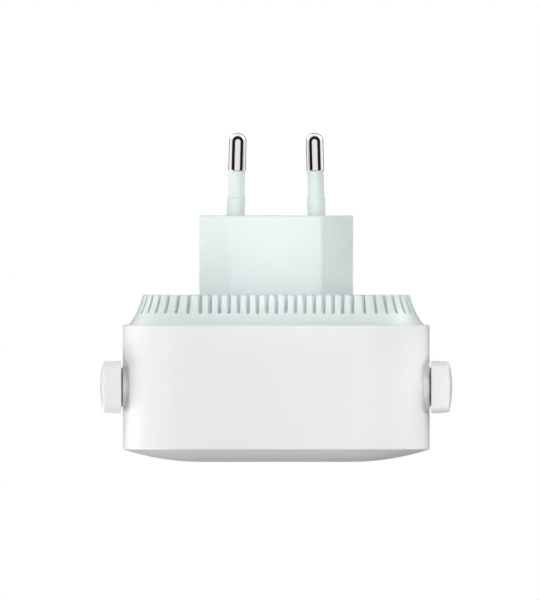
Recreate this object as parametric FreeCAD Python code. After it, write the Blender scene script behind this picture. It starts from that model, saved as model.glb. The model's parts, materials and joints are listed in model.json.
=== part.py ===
"""Plug-in wifi range extender: a domed rounded-square case on a two-pin plug block, with a swivelling antenna
on each side. Millimetres. The origin is the middle of the plug block's end face. +Y points out of the pins
into the wall, +Z is up, and +X is to the right as seen from the room."""

import FreeCAD, Part
import math
import os

V = FreeCAD.Vector

# Fits between pieces
SEAT_FIT = 0.05  # between pieces that stand still
RUN_FIT = 0.08  # radial, between a turning barrel and its bore
SLIDE_FIT = 0.15  # around the sliding button

# Plug pins
PIN_LENGTH = 19.0  # plug face to tip
PIN_D = 4.0  # bare metal end
PIN_BARE_LENGTH = 8.8  # bare metal, tip included
PIN_SPAN_BASE = 18.6  # between the pins' axes at the plug face
PIN_SPAN_TIP = 17.6  # between the pins' axes at the tips
PIN_CORE_D = 2.8  # metal inside the sleeve
PIN_TAIL_D = 2.5  # metal inside the case
PIN_TAIL_SHOWS = 1.4  # tail beyond the power board, soldered
PIN_FLANGE_D = 5.2  # holds the pin behind the end wall
PIN_FLANGE_T = 1.0
PIN_EDGE = 0.25  # broken edge of the bare end
SLEEVE_D = 3.66
COLLAR_D = 4.1
COLLAR_LENGTH = 4.2
COLLAR_ROOT = 1.0  # collar sunk into the end wall
COLLAR_STEP = 0.15  # slope from collar to sleeve

# Plug block, a flat hexagon with blunted ends
BLOCK_W = 35.4
BLOCK_H = 13.7
BLOCK_FLAT_W = 20.7  # width of its level faces
BLOCK_BLUNT_H = 3.4  # height of its blunted ends
BLOCK_LENGTH = 18.3  # back plate to plug face
BLOCK_WALL = 2.0
BLOCK_END_WALL = 3.0
BLOCK_EDGE_R = 1.8  # long edges beside the level faces
BLOCK_BLUNT_R = 0.8  # long edges of the blunted ends
BLOCK_FACE_R = 0.4  # edge of the plug face
BLOCK_FLANGE_T = 1.5
BLOCK_FLANGE_LIP = 2.0

# Case: every outline is a rounded square around the same four corner centres
BODY_W = 70.7
BODY_DEPTH = 28.7
CORNER_CENTRE = 17.1  # from the middle to each corner's centre
CASE_WALL = 2.0
RIM_R = 0.4
FRONT_EDGE = 0.35
DOME_RISE = 2.9
DOME_WALL = 2.0

# Rear cover: a hollow-sided ring, grooved all round, with the back plate
RING_DEPTH = 6.9
RING_LEDGE = 1.35  # rim inside the case's side
RING_FLARE = 3.2  # back edge inside the rim
RING_SAG = 0.45  # how far its side is hollowed
RING_EDGE = 0.5
RING_WALL = 2.0
PLATE_T = 2.0
SKIRT_DEPTH = 3.0
SKIRT_WALL = 1.3
GROOVE_PITCH = 2.18  # along the line where the grooves are evenly spaced
GROOVE_LINE_INSET = 2.17  # that line, inside the ring's back edge
GROOVE_W = 1.0
GROOVE_FOOT_W = 0.86
GROOVE_LENGTH = 4.35  # from the back plate down the side
GROOVE_DEPTH = 0.9
SLIT_INNER = 4.4  # slits through the plate, inside the ring's back edge
SLIT_OUTER = 2.2
CHANNEL_DEPTH = 0.35  # from each slit out to its groove
SNAP_LENGTH = 14.0
SNAP_RISE = 0.4
SNAP_H = 1.0
SNAP_BELOW_RIM = 1.5

# Antenna hinges
HINGE_Z = -18.3
BOSS_D = 11.5
HINGE_SEAT = 3.0  # boss inside the wall
BARREL_D = 7.0
BARREL_BORE_D = 3.2
BARREL_FLANGE_D = 8.2
BARREL_FLANGE_T = 0.6
BARREL_MOUTH_D = 4.6
BARREL_END = 0.6  # barrel beyond its clip
HINGE_WASHER_T = 0.6
HINGE_WASHER_D = 10.4
CLIP_T = 0.8
CLIP_D = 10.0
CLIP_GROOVE_DEPTH = 0.5
CLIP_MOUTH_W = 5.0
FRICTION_RING_D = 9.0

# Antennas, as flat paddles with rounded corners
ANTENNA_GAP = 0.35
ANTENNA_W = 12.1
ANTENNA_T = 4.1
ANTENNA_DOME = 0.8
ANTENNA_DRAFT = 0.23
ANTENNA_EDGE = 0.3
ANTENNA_CORNER = 2.0
ANTENNA_FOOT = 8.0  # their lower end, below the hinge
ANTENNA_TOP = 44.4  # height of the tips when upright
ANTENNA_WALL = 1.2
ANTENNA_ROOF = 1.15
ANTENNA_LEDGE = 0.6
ANTENNA_COVER_T = 1.0
ANTENNA_BOARD_W = 7.0
ANTENNA_BOARD_T = 0.8
ANTENNA_BOARD_LOW = 12.0  # its lower end, above the hinge
ANTENNA_BOARD_TOP = 6.0  # its upper end, below the tip
COAX_D = 1.2
COAX_BEND = 2.4

# Boards
POWER_BOARD_MARGIN = 4.0  # its edge to the skirt
POWER_BOARD_T = 1.6
POWER_BOARD_GAP = 4.2  # behind it, to the block's flange
POWER_POST_IN_X = 6.0  # posts inside the board's edges
POWER_POST_IN_Z = 8.0
MAIN_BOARD_MARGIN = 4.35  # its edge to the case wall
MAIN_BOARD_T = 1.2
MAIN_POST = 6.8  # dome wall to main board
MAIN_POST_IN = 2.85  # posts inside the board's round corners
POST_D = 4.8
SCREW_D = 1.9
SCREW_LENGTH = 5.0
SCREW_HEAD_D = 3.8
SCREW_HEAD_T = 1.3
SCREW_CROSS_W = 0.6
SCREW_CROSS_DEPTH = 0.7

# Mains parts on the power board, each placed inwards from the edges nearest to it
TRANSFORMER_IN_X = 19.0
TRANSFORMER_IN_Z = 14.5
TRANSFORMER_W = 16.0
TRANSFORMER_THICK = 10.0
TRANSFORMER_H = 13.0
TRANSFORMER_LEG = 4.6
TRANSFORMER_YOKE = 2.6
TRANSFORMER_TURNS = 3.0  # winding outside the core, each way
TRANSFORMER_BASE_T = 1.6
BULK_CAP_IN_X = 15.0
BULK_CAP_IN_Z = 14.5
BULK_CAP_D = 10.0
BULK_CAP_H = 14.0
OUTPUT_CAP_IN_X = 10.0
OUTPUT_CAP_IN_Z = 18.0
OUTPUT_CAP_D = 8.0
OUTPUT_CAP_H = 11.5
CAP_NECK = 0.3
RECTIFIER_IN_X = 20.0
RECTIFIER_IN_Z = 18.5
RECTIFIER_SIZE = (6.8, 2.6, 4.6)
FUSE_GAP = 3.25  # to the capacitor beside it
FUSE_IN_Z = 10.5
FUSE_D = 3.4
FUSE_LENGTH = 10.0
CHOKE_IN_X = 9.0
CHOKE_IN_Z = 20.0
CHOKE_D = 7.0
CHOKE_H = 8.0
CHOKE_RIM_T = 1.2
CHOKE_WAIST = 1.0
Y_CAP_IN_X = 22.0
Y_CAP_IN_Z = 13.0
Y_CAP_D = 7.5
Y_CAP_T = 3.6
CONTROLLER_IN_X = 7.5
CONTROLLER_GAP = 0.5  # below the transformer's base
CONTROLLER_SIZE = (5.0, 1.6, 4.0)

# Header between the boards
HEADER_X = -10.0
HEADER_IN_Z = 4.0  # inside the power board's upper edge
HEADER_PINS = 4
HEADER_PITCH = 2.54
HEADER_PIN_D = 0.64
HEADER_THICK = 2.5
HEADER_BASE_H = 2.5
HEADER_SOCKET_H = 6.0

# Parts on the main board
CAN_X = 0.0
CAN_Z = 4.0
CAN_W = 26.0
CAN_H = 20.0
CAN_T = 2.6
CAN_SHEET = 0.25
WIFI_CHIP_SIZE = (9.0, 1.0, 9.0)
WIFI_CHIP_DX = -5.0
FLASH_CHIP_SIZE = (5.2, 1.2, 4.0)
FLASH_CHIP_DX = 6.0
FLASH_CHIP_DZ = 4.0
CRYSTAL_SIZE = (3.2, 0.8, 2.5)
CRYSTAL_DX = 6.0
CRYSTAL_DZ = -4.0
COAX_PLUG_D = 3.2
COAX_PLUG_T = 1.6
COAX_LEVEL_RUN = 6.3  # from the hinge barrel inwards
COAX_PLUG_IN = 10.0  # plug beyond the end of that run
COAX_PLUG_RISE = 8.3  # plug above the hinge
COAX_BEND_RISE = 1.8  # the cable's lower bend above the hinge
LED_IN_Z = 7.0  # inside the main board's lower edge
LED_SIZE = (3.0, 0.8, 1.6)
PIPE_D = 2.0
PIPE_FLANGE_D = 4.0
PIPE_FLANGE_T = 0.8
PIPE_GAP = 0.2  # over the lamp

# Pairing button in the upper wall, over a side-acting switch
BUTTON_X = 0.0
BUTTON_W = 9.0
BUTTON_D = 3.4
BUTTON_PROUD = 0.45
BUTTON_TRAVEL = 0.4
BUTTON_LIP = 0.8
BUTTON_LIP_T = 1.0
BUTTON_STEM_D = 2.6
SWITCH_SIZE = (6.0, 3.5, 4.0)
SWITCH_INSET = 0.5  # below the main board's upper edge
PLUNGER_D = 1.6
PLUNGER_SHOWS = 1.0
PLUNGER_SUNK = 1.2

# Places worked out from those sizes
Y_BACK = -BLOCK_LENGTH
Y_RIM = Y_BACK - RING_DEPTH
Y_FRONT = Y_RIM - BODY_DEPTH
Y_DOME = Y_FRONT - DOME_RISE
HALF = BODY_W / 2
HALF_IN = HALF - CASE_WALL
RING_RIM = HALF - RING_LEDGE
RING_BACK = RING_RIM - RING_FLARE
DOME_R = ((HALF - CORNER_CENTRE) ** 2 + DOME_RISE**2) / (2 * DOME_RISE)
PLATE_IN = Y_BACK - PLATE_T
POWER_REAR = PLATE_IN - BLOCK_FLANGE_T - POWER_BOARD_GAP
POWER_FRONT = POWER_REAR - POWER_BOARD_T
MAIN_FRONT = Y_DOME + DOME_WALL + MAIN_POST
MAIN_REAR = MAIN_FRONT + MAIN_BOARD_T
POWER_HALF = HALF_IN - SEAT_FIT - SKIRT_WALL - POWER_BOARD_MARGIN
POWER_POST_X = POWER_HALF - POWER_POST_IN_X
POWER_POST_Z = POWER_HALF - POWER_POST_IN_Z
MAIN_HALF = HALF_IN - MAIN_BOARD_MARGIN
MAIN_POST_AT = CORNER_CENTRE + (MAIN_HALF - CORNER_CENTRE - MAIN_POST_IN) * math.sqrt(0.5)
TRANSFORMER_X = TRANSFORMER_IN_X - POWER_HALF
TRANSFORMER_Z = POWER_HALF - TRANSFORMER_IN_Z
BULK_CAP_X = POWER_HALF - BULK_CAP_IN_X
BULK_CAP_Z = POWER_HALF - BULK_CAP_IN_Z
OUTPUT_CAP_X = OUTPUT_CAP_IN_X - POWER_HALF
OUTPUT_CAP_Z = OUTPUT_CAP_IN_Z - POWER_HALF
RECTIFIER_X = POWER_HALF - RECTIFIER_IN_X
RECTIFIER_Z = RECTIFIER_IN_Z - POWER_HALF
FUSE_Z = FUSE_IN_Z - POWER_HALF
CHOKE_X = POWER_HALF - CHOKE_IN_X
CHOKE_Z = CHOKE_IN_Z - POWER_HALF
Y_CAP_X = Y_CAP_IN_X - POWER_HALF
FUSE_X = Y_CAP_X + Y_CAP_D / 2 + FUSE_GAP + FUSE_LENGTH / 2
Y_CAP_Z = Y_CAP_IN_Z - POWER_HALF
CONTROLLER_X = CONTROLLER_IN_X - POWER_HALF
TRANSFORMER_LOW = TRANSFORMER_Z - TRANSFORMER_THICK / 2 - TRANSFORMER_TURNS
CONTROLLER_Z = TRANSFORMER_LOW - CONTROLLER_GAP - CONTROLLER_SIZE[2] / 2
HEADER_Z = POWER_HALF - HEADER_IN_Z
LED_Z = LED_IN_Z - MAIN_HALF
HINGE_Y = (Y_RIM + Y_FRONT) / 2
SEAT_X = HALF_IN - HINGE_SEAT
CLIP_X = SEAT_X - HINGE_WASHER_T - SEAT_FIT - CLIP_T
BARREL_X = CLIP_X - BARREL_END
COAX_DROP_X = BARREL_X - COAX_LEVEL_RUN
COAX_DROP_Z = HINGE_Z + COAX_BEND_RISE
COAX_PLUG_X = COAX_DROP_X - COAX_PLUG_IN
COAX_PLUG_Z = HINGE_Z + COAX_PLUG_RISE
ANT_IN = HALF + ANTENNA_GAP
ANT_EDGE = ANT_IN + ANTENNA_T
ANT_ROOF = ANT_EDGE - ANTENNA_ROOF
ANT_HALF_W = ANTENNA_W / 2
ANT_TIP = ANTENNA_TOP - HINGE_Z
COVER_IN = ANT_IN + ANTENNA_COVER_T
BUTTON_Y = MAIN_REAR + SWITCH_SIZE[1] / 2
SWITCH_TOP = MAIN_HALF - SWITCH_INSET


# ---------------------------------------------------------------- shapes
def block(x, y, z, wide, deep, high):
    """A box by its middle in X and Z, and its lowest Y."""
    return Part.makeBox(wide, deep, high, V(x - wide / 2, y, z - high / 2))


def rod(x, y, z, diameter, length, way=V(0, 1, 0)):
    return Part.makeCylinder(diameter / 2, length, V(x, y, z), way)


def path_edges(steps, place):
    """Edges through the steps. A step is a point, reached by a line, or a pair of points, an arc through the
    first of them to the second. place turns a point's two numbers into a 3-D point."""
    edges, here = [], steps[0]
    for step in steps[1:] + steps[:1]:
        if isinstance(step[0], tuple):
            via, end = step
            edges.append(Part.Arc(place(*here), place(*via), place(*end)).toShape())
            here = end
        elif math.dist(here, step) > 1e-6:
            edges.append(Part.LineSegment(place(*here), place(*step)).toShape())
            here = step
    return edges


def profile(*steps):
    """A face in the XY plane, from its corners and arcs."""
    return Part.Face(Part.Wire(path_edges(list(steps), lambda x, y: V(x, y, 0))))


def rounded_polygon(points, radii, y):
    """A face at height y, from a convex outline in X and Z with a radius at each corner."""
    steps = []
    for i, (corner, radius) in enumerate(zip(points, radii)):
        before, after = points[i - 1], points[(i + 1) % len(points)]
        arms = []
        for other in (before, after):
            span = math.dist(corner, other)
            arms.append(tuple((o - c) / span for o, c in zip(other, corner)))
        half = math.acos(sum(a * b for a, b in zip(*arms))) / 2
        run, reach = radius / math.tan(half), radius / math.sin(half)
        middle = [a + b for a, b in zip(*arms)]
        size = math.hypot(*middle)
        start, end = (tuple(c + a * run for c, a in zip(corner, arm)) for arm in arms)
        via = tuple(c + m / size * (reach - radius) for c, m in zip(corner, middle))
        steps += [start, (via, end)]
    return Part.Face(Part.Wire(path_edges(steps, lambda x, z: V(x, y, z))))


def inset_polygon(points, by):
    """A convex outline with each side moved in by the same amount. The points go anticlockwise."""
    lines = []
    for (x0, z0), (x1, z1) in zip(points, points[1:] + points[:1]):
        length = math.hypot(x1 - x0, z1 - z0)
        nx, nz = -(z1 - z0) / length, (x1 - x0) / length
        lines.append((nx, nz, nx * x0 + nz * z0 + by))
    moved = []
    for (a, b, c), (d, e, f) in zip(lines[-1:] + lines[:-1], lines):
        det = a * e - b * d
        moved.append(((c * e - b * f) / det, (a * f - c * d) / det))
    return moved


def around(face):
    """Carries a face, drawn to the right of the corner centre, round the rounded square."""
    c = CORNER_CENTRE
    side = face.translated(V(0, 0, -c)).extrude(V(0, 0, 2 * c))
    corner = face.translated(V(0, 0, c)).revolve(V(c, 0, c), V(0, 1, 0), -90)
    quarter = side.fuse(corner)
    turned = [quarter.rotated(V(), V(0, 1, 0), 90 * k) for k in range(4)]
    return turned[0].fuse(turned[1:]).removeSplitter()


def slab(half, y_low, y_high):
    """A plate with the rounded-square outline."""
    c = CORNER_CENTRE
    ring = around(profile((c, y_low), (half, y_low), (half, y_high), (c, y_high)))
    return ring.fuse(block(0, y_low, 0, 2 * c, y_high - y_low, 2 * c)).removeSplitter()


def paddle_face(inset, x):
    """The antenna's outline, moved in by inset, as a face at x. The hinge is its origin."""
    half = ANT_HALF_W - inset
    low, high = inset - ANTENNA_FOOT, ANT_TIP - inset
    radius = max(ANTENNA_CORNER - inset, ANTENNA_EDGE)
    corners = [(-half, low), (half, low), (half, high), (-half, high)]
    return rounded_polygon(corners, [radius] * 4, x).rotated(V(), V(0, 0, 1), -90)


def paddle(inset, x_low, x_high):
    return paddle_face(inset, x_low).extrude(V(x_high - x_low, 0, 0))


def turned_on_x(*steps):
    """A solid turned about the X axis, from steps of (x, radius)."""
    return profile(*steps).revolve(V(), V(1, 0, 0), 360)


def turned_on_y(*steps):
    """A solid turned about the Y axis, from steps of (radius, y)."""
    return profile(*steps).revolve(V(), V(0, 1, 0), 360)


def pill(x, y, z_low, z_high, wide, deep):
    """An upright bar whose section is a straight slot with round ends."""
    run, high = wide - deep, z_high - z_low
    bar = Part.makeBox(run, deep, high, V(x - run / 2, y - deep / 2, z_low))
    ends = [rod(x + s * run / 2, y, z_low, deep, high, V(0, 0, 1)) for s in (-1, 1)]
    return bar.fuse(ends).removeSplitter()


def cable(points, diameter):
    """A round cable along straight runs joined by arcs as large as the runs allow."""
    edges, here = [], points[0]
    for before, corner, after in zip(points, points[1:], points[2:]):
        back, on = (before - corner), (after - corner)
        shorter = min(back.Length, on.Length)
        half = back.getAngle(on) / 2
        run = 0.45 * shorter
        reach = run / math.cos(half)
        radius = run * math.tan(half)
        back.normalize()
        on.normalize()
        middle = (back + on).normalize()
        start, end = corner + back * run, corner + on * run
        via = corner + middle * (reach - radius)
        edges += [
            Part.LineSegment(here, start).toShape(),
            Part.Arc(start, via, end).toShape(),
        ]
        here = end
    edges.append(Part.LineSegment(here, points[-1]).toShape())
    way = points[1] - points[0]
    section = Part.Wire(Part.Circle(points[0], way, diameter / 2).toShape())
    return Part.Wire(edges).makePipeShell([section], True, True)


def on_side(shape, side):
    """A right-hand piece, or its mirror image for the left."""
    return shape if side > 0 else shape.mirror(V(), V(1, 0, 0))


def at_hinge(shape):
    return shape.translated(V(0, HINGE_Y, HINGE_Z))


# ---------------------------------------------------------------- plug
PIN_TILT = math.degrees(math.atan((PIN_SPAN_BASE - PIN_SPAN_TIP) / 2 / PIN_LENGTH))
BARE_START = PIN_LENGTH - PIN_BARE_LENGTH


def lean(shape, side):
    """Sets a pin's piece at its place, leaning in towards the other pin."""
    leaning = shape.rotated(V(), V(0, 0, 1), side * PIN_TILT)
    return leaning.translated(V(side * PIN_SPAN_BASE / 2, 0, 0))


def pin(side):
    core, bare, root = PIN_CORE_D / 2, PIN_D / 2, -COLLAR_ROOT
    ball = PIN_LENGTH - bare
    diagonal = bare * math.sqrt(0.5)
    outside = turned_on_y(
        (0, root),
        (core, root),
        (core, BARE_START),
        (bare - PIN_EDGE, BARE_START),
        (bare, BARE_START + PIN_EDGE),
        (bare, ball),
        ((diagonal, ball + diagonal), (0, PIN_LENGTH)),
    )
    x = side * PIN_SPAN_BASE / 2
    low = POWER_FRONT - PIN_TAIL_SHOWS
    tail = rod(x, low, 0, PIN_TAIL_D, -low - COLLAR_ROOT / 2)
    flange = rod(x, -BLOCK_END_WALL - PIN_FLANGE_T, 0, PIN_FLANGE_D, PIN_FLANGE_T)
    return lean(outside, side).fuse([tail, flange]).removeSplitter()


def pin_sleeve(side):
    hole, sleeve, collar = PIN_CORE_D / 2 + SEAT_FIT / 2, SLEEVE_D / 2, COLLAR_D / 2
    return lean(
        turned_on_y(
            (hole, -COLLAR_ROOT),
            (collar, -COLLAR_ROOT),
            (collar, COLLAR_LENGTH - COLLAR_STEP),
            (sleeve, COLLAR_LENGTH),
            (sleeve, BARE_START),
            (hole, BARE_START),
        ),
        side,
    )


def block_outline(inset, y):
    """The plug block's flat hexagon, moved in by inset, or out where inset is negative."""
    a, b, f, s = BLOCK_W / 2, BLOCK_H / 2, BLOCK_FLAT_W / 2, BLOCK_BLUNT_H / 2
    points = [(f, -b), (a, -s), (a, s), (f, b), (-f, b), (-a, s), (-a, -s), (-f, -b)]
    radii = [BLOCK_EDGE_R, BLOCK_BLUNT_R, BLOCK_BLUNT_R, BLOCK_EDGE_R] * 2
    least = min(BLOCK_BLUNT_R, BLOCK_EDGE_R) / 2
    moved = inset_polygon(points, inset)
    return rounded_polygon(moved, [max(r - inset, least) for r in radii], y)


def plug_block():
    outer = block_outline(0, PLATE_IN).extrude(V(0, -PLATE_IN, 0))
    face_edges = [e for e in outer.Edges if e.BoundBox.YMin > -1e-6]
    outer = outer.makeFillet(BLOCK_FACE_R, face_edges)
    low = PLATE_IN - BLOCK_FLANGE_T
    flange = block_outline(-BLOCK_FLANGE_LIP, low).extrude(V(0, BLOCK_FLANGE_T, 0))
    inside = block_outline(BLOCK_WALL, low).extrude(V(0, -low - BLOCK_END_WALL, 0))
    holes = []
    for side in (-1, 1):
        x = side * PIN_SPAN_BASE / 2
        wide = PIN_CORE_D + 4 * SEAT_FIT
        holes.append(rod(x, -BLOCK_END_WALL, 0, wide, BLOCK_END_WALL))
        collar = COLLAR_D / 2 + SEAT_FIT
        well = turned_on_y((0, -COLLAR_ROOT), (collar, -COLLAR_ROOT), (collar, 1), (0, 1))
        holes.append(lean(well, side))
    return outer.fuse(flange).cut([inside, *holes]).removeSplitter()


# ---------------------------------------------------------------- case
def dome_y(h, inset=0.0):
    """Height of the dome's surface, or of the surface that lies inset inside it."""
    reach = max(h - CORNER_CENTRE, 0)
    return Y_DOME + DOME_R - math.sqrt((DOME_R - inset) ** 2 - reach**2)


def snap_bars(rise, length, high):
    """One bar on each side, standing out from inside the case wall."""
    y = Y_RIM - SNAP_BELOW_RIM - high / 2
    inner = HALF_IN - SEAT_FIT - SKIRT_WALL / 2
    outer = HALF_IN + rise
    bar = block((inner + outer) / 2, y, 0, outer - inner, high, length)
    return [bar.rotated(V(), V(0, 1, 0), 90 * k) for k in range(4)]


def front_shell():
    c, h, r, e = CORNER_CENTRE, HALF, RIM_R, FRONT_EDGE
    near = (c + HALF_IN) / 2
    skin = around(
        profile(
            (HALF_IN, Y_RIM),
            (h - r, Y_RIM),
            ((h - 0.3 * r, Y_RIM - 0.3 * r), (h, Y_RIM - r)),
            (h, Y_FRONT + e),
            ((h - 0.2 * e, Y_FRONT + 0.15 * e), (h - e, dome_y(h - e))),
            ((near, dome_y(near)), (c, Y_DOME)),
            (c, Y_DOME + DOME_WALL),
            ((near, dome_y(near, DOME_WALL)), (HALF_IN, dome_y(HALF_IN, DOME_WALL))),
        )
    )
    shell = skin.fuse(block(0, Y_DOME, 0, 2 * c, DOME_WALL, 2 * c))
    added = []
    for side in (-1, 1):
        boss = rod(SEAT_X, HINGE_Y, HINGE_Z, BOSS_D, h - SEAT_X, V(1, 0, 0))
        added.append(on_side(boss, side))
    post_y = Y_DOME + DOME_WALL / 2
    for x, z in board_corners(MAIN_POST_AT, MAIN_POST_AT):
        added.append(rod(x, post_y, z, POST_D, MAIN_FRONT - post_y))
    shell = shell.fuse(added)
    cuts = snap_bars(SNAP_RISE + 2 * SEAT_FIT, SNAP_LENGTH + 0.6, SNAP_H + 4 * SEAT_FIT)
    for side in (-1, 1):
        wide = BARREL_D + 2 * RUN_FIT
        bore = rod(SEAT_X - 1, HINGE_Y, HINGE_Z, wide, h - SEAT_X + 2, V(1, 0, 0))
        cuts.append(on_side(bore, side))
    for x, z in board_corners(MAIN_POST_AT, MAIN_POST_AT):
        depth = SCREW_LENGTH - MAIN_BOARD_T + 0.3
        cuts.append(rod(x, MAIN_FRONT - depth, z, SCREW_D + 2 * SEAT_FIT, depth + 0.1))
    cuts.append(rod(0, Y_DOME - 1, LED_Z, PIPE_D + 2 * SEAT_FIT, DOME_WALL + DOME_RISE + 2))
    slot = 2 * SLIDE_FIT
    low = HALF_IN - 1
    cuts.append(pill(BUTTON_X, BUTTON_Y, low, h + 1, BUTTON_W + slot, BUTTON_D + slot))
    return shell.cut(cuts).removeSplitter()


def board_corners(x, z):
    return [(sx * x, sz * z) for sx in (-1, 1) for sz in (-1, 1)]


def ring_side(inset):
    """The ring's hollowed side, moved in: its foot at the rim, a point on its arc, and its top."""
    foot, top = (RING_RIM - inset, Y_RIM), (RING_BACK - inset, Y_BACK)
    run = math.dist(foot, top)
    out = ((top[1] - foot[1]) / run, (foot[0] - top[0]) / run)
    via = tuple((f + t) / 2 - RING_SAG * o for f, t, o in zip(foot, top, out))
    return foot, via, top


def grooves():
    """The tools that cut one vent each: a groove down the side, a slit through the plate inside it, and a
    shallow channel that joins them. They are evenly spaced along a line inside the ring's back edge."""
    c, back = CORNER_CENTRE, RING_BACK
    bend = back - GROOVE_LINE_INSET - c
    arc = bend * math.pi / 2
    quarter = 2 * c + arc
    count = 2 * round(quarter / 2 / GROOVE_PITCH)
    half, foot = GROOVE_W / 2, GROOVE_FOOT_W / 2
    low = Y_BACK - GROOVE_LENGTH
    down = [(-half, Y_BACK + 1), (-foot, low + foot), ((0, low), (foot, low + foot)), (half, Y_BACK + 1)]
    edges = path_edges(down, lambda z, y: V(back - RING_WALL, y, z))
    reach = RING_RIM - back + RING_WALL + 1
    groove = Part.Face(Part.Wire(edges)).extrude(V(reach, 0, 0))
    foot_in, via_in, top_in = ring_side(GROOVE_DEPTH)
    floor = profile((c, Y_RIM), foot_in, (via_in, top_in), (top_in[0], Y_BACK + 2), (c, Y_BACK + 2))
    inner, outer = back - SLIT_INNER, back - SLIT_OUTER
    high = PLATE_T + 0.2
    slit = block((inner + outer) / 2, PLATE_IN - 0.1, 0, outer - inner, high, GROOVE_W)
    middle, wide = (inner + back) / 2, back - inner
    channel = block(middle, Y_BACK - CHANNEL_DEPTH, 0, wide, CHANNEL_DEPTH + 0.1, GROOVE_W)
    vent = slit.fuse(channel)
    sides, plates = [], []
    for k in range(count):
        s = k * quarter / count
        turn = math.degrees(min(max(s - c, 0), arc) / bend)
        for tool, kept in ((groove, sides), (vent, plates)):
            placed = tool.translated(V(0, 0, min(s, c)))
            placed = placed.rotated(V(c, 0, c), V(0, 1, 0), -turn)
            placed = placed.translated(V(-max(s - c - arc, 0), 0, 0))
            kept += [placed.rotated(V(), V(0, 1, 0), 90 * q) for q in range(4)]
    inside = around(floor)
    return [*Part.makeCompound(sides).cut(inside).Solids, *plates]


def rear_cover():
    c, edge = CORNER_CENTRE, RING_EDGE
    foot, via, top = ring_side(0)
    skirt = HALF_IN - SEAT_FIT
    skirt_in = skirt - SKIRT_WALL
    skirt_low = Y_RIM - SKIRT_DEPTH
    skin = around(
        profile(
            foot,
            (via, (top[0], top[1] - edge)),
            ((top[0] - 0.3 * edge, Y_BACK - 0.3 * edge), (top[0] - edge, Y_BACK)),
            (c, Y_BACK),
            (c, PLATE_IN),
            (RING_BACK - RING_WALL, PLATE_IN),
            (skirt_in, Y_RIM),
            (skirt_in, skirt_low),
            (skirt, skirt_low),
            (skirt, Y_RIM),
        )
    )
    plate = block(0, PLATE_IN, 0, 2 * c, PLATE_T, 2 * c)
    bumps = snap_bars(SNAP_RISE, SNAP_LENGTH, SNAP_H)
    corners = board_corners(POWER_POST_X, POWER_POST_Z)
    post_top = Y_BACK - PLATE_T / 2
    posts = [rod(x, POWER_REAR, z, POST_D, post_top - POWER_REAR) for x, z in corners]
    cover = skin.fuse([plate, *bumps, *posts])
    low = PLATE_IN - 1
    window = block_outline(-SEAT_FIT, low).extrude(V(0, PLATE_T + 2, 0))
    depth = SCREW_LENGTH - POWER_BOARD_T + 0.3
    hole = SCREW_D + 2 * SEAT_FIT
    holes = [rod(x, POWER_REAR - 0.1, z, hole, depth + 0.1) for x, z in corners]
    return cover.cut([window, *holes, *grooves()]).removeSplitter()


# ---------------------------------------------------------------- boards
def screws(corners, face_y, way):
    """Cross-head screws with their heads on face_y, driven along way."""
    made = []
    for x, z in corners:
        head = rod(x, face_y, z, SCREW_HEAD_D, SCREW_HEAD_T, V(0, -way, 0))
        shank = rod(x, face_y, z, SCREW_D, SCREW_LENGTH, V(0, way, 0))
        top = face_y - way * SCREW_HEAD_T
        middle = top + way * SCREW_CROSS_DEPTH / 2
        low = middle - SCREW_CROSS_DEPTH / 2
        arm = SCREW_HEAD_D * 0.6
        cross = [
            block(x, low, z, arm, SCREW_CROSS_DEPTH, SCREW_CROSS_W),
            block(x, low, z, SCREW_CROSS_W, SCREW_CROSS_DEPTH, arm),
        ]
        made.append(head.fuse(shank).cut(cross).removeSplitter())
    return Part.makeCompound(made)


def board(half, y_low, thickness, corners, holes):
    """A circuit board with its screw holes, and any others as (x, z, diameter)."""
    plate = slab(half, y_low, y_low + thickness)
    all_holes = [(x, z, SCREW_D + 0.3) for x, z in corners] + holes
    high = thickness + 2
    return plate.cut([rod(x, y_low - 1, z, d, high) for x, z, d in all_holes])


def power_board():
    x = PIN_SPAN_BASE / 2
    hole = PIN_TAIL_D + 2 * SEAT_FIT
    corners = board_corners(POWER_POST_X, POWER_POST_Z)
    return board(POWER_HALF, POWER_FRONT, POWER_BOARD_T, corners, [(-x, 0, hole), (x, 0, hole)])


def main_board():
    corners = board_corners(MAIN_POST_AT, MAIN_POST_AT)
    return board(MAIN_HALF, MAIN_FRONT, MAIN_BOARD_T, corners, [])


def on_power(x, z, size):
    """A plain block on the power board's front face."""
    wide, deep, high = size
    return block(x, POWER_FRONT - deep, z, wide, deep, high)


def on_main(x, z, size):
    """A plain block on the main board's front face."""
    wide, deep, high = size
    return block(x, MAIN_FRONT - deep, z, wide, deep, high)


def transformer():
    """Its base, its core around and through the winding, and the winding."""
    x, z = TRANSFORMER_X, TRANSFORMER_Z
    wide, thick, high = TRANSFORMER_W, TRANSFORMER_THICK, TRANSFORMER_H
    long_z = thick + 2 * TRANSFORMER_TURNS
    base = on_power(x, z, (wide, TRANSFORMER_BASE_T, long_z))
    low = POWER_FRONT - TRANSFORMER_BASE_T - high
    window_w = (wide - TRANSFORMER_LEG - 2 * TRANSFORMER_YOKE) / 2
    window_h = high - 2 * TRANSFORMER_YOKE
    window_y = low + TRANSFORMER_YOKE
    shift = (TRANSFORMER_LEG + window_w) / 2
    core = block(x, low, z, wide, high, thick)
    windows = [block(x + s * shift, window_y, z, window_w, window_h, thick + 2) for s in (-1, 1)]
    core = core.cut(windows)
    slack = 2 * SEAT_FIT
    turns_w = TRANSFORMER_LEG + 2 * window_w - slack
    turns = block(x, window_y + SEAT_FIT, z, turns_w, window_h - slack, long_z)
    leg = block(x, window_y - 1, z, TRANSFORMER_LEG + slack, window_h + 2, thick + slack)
    return base, core, turns.cut(leg)


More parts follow.
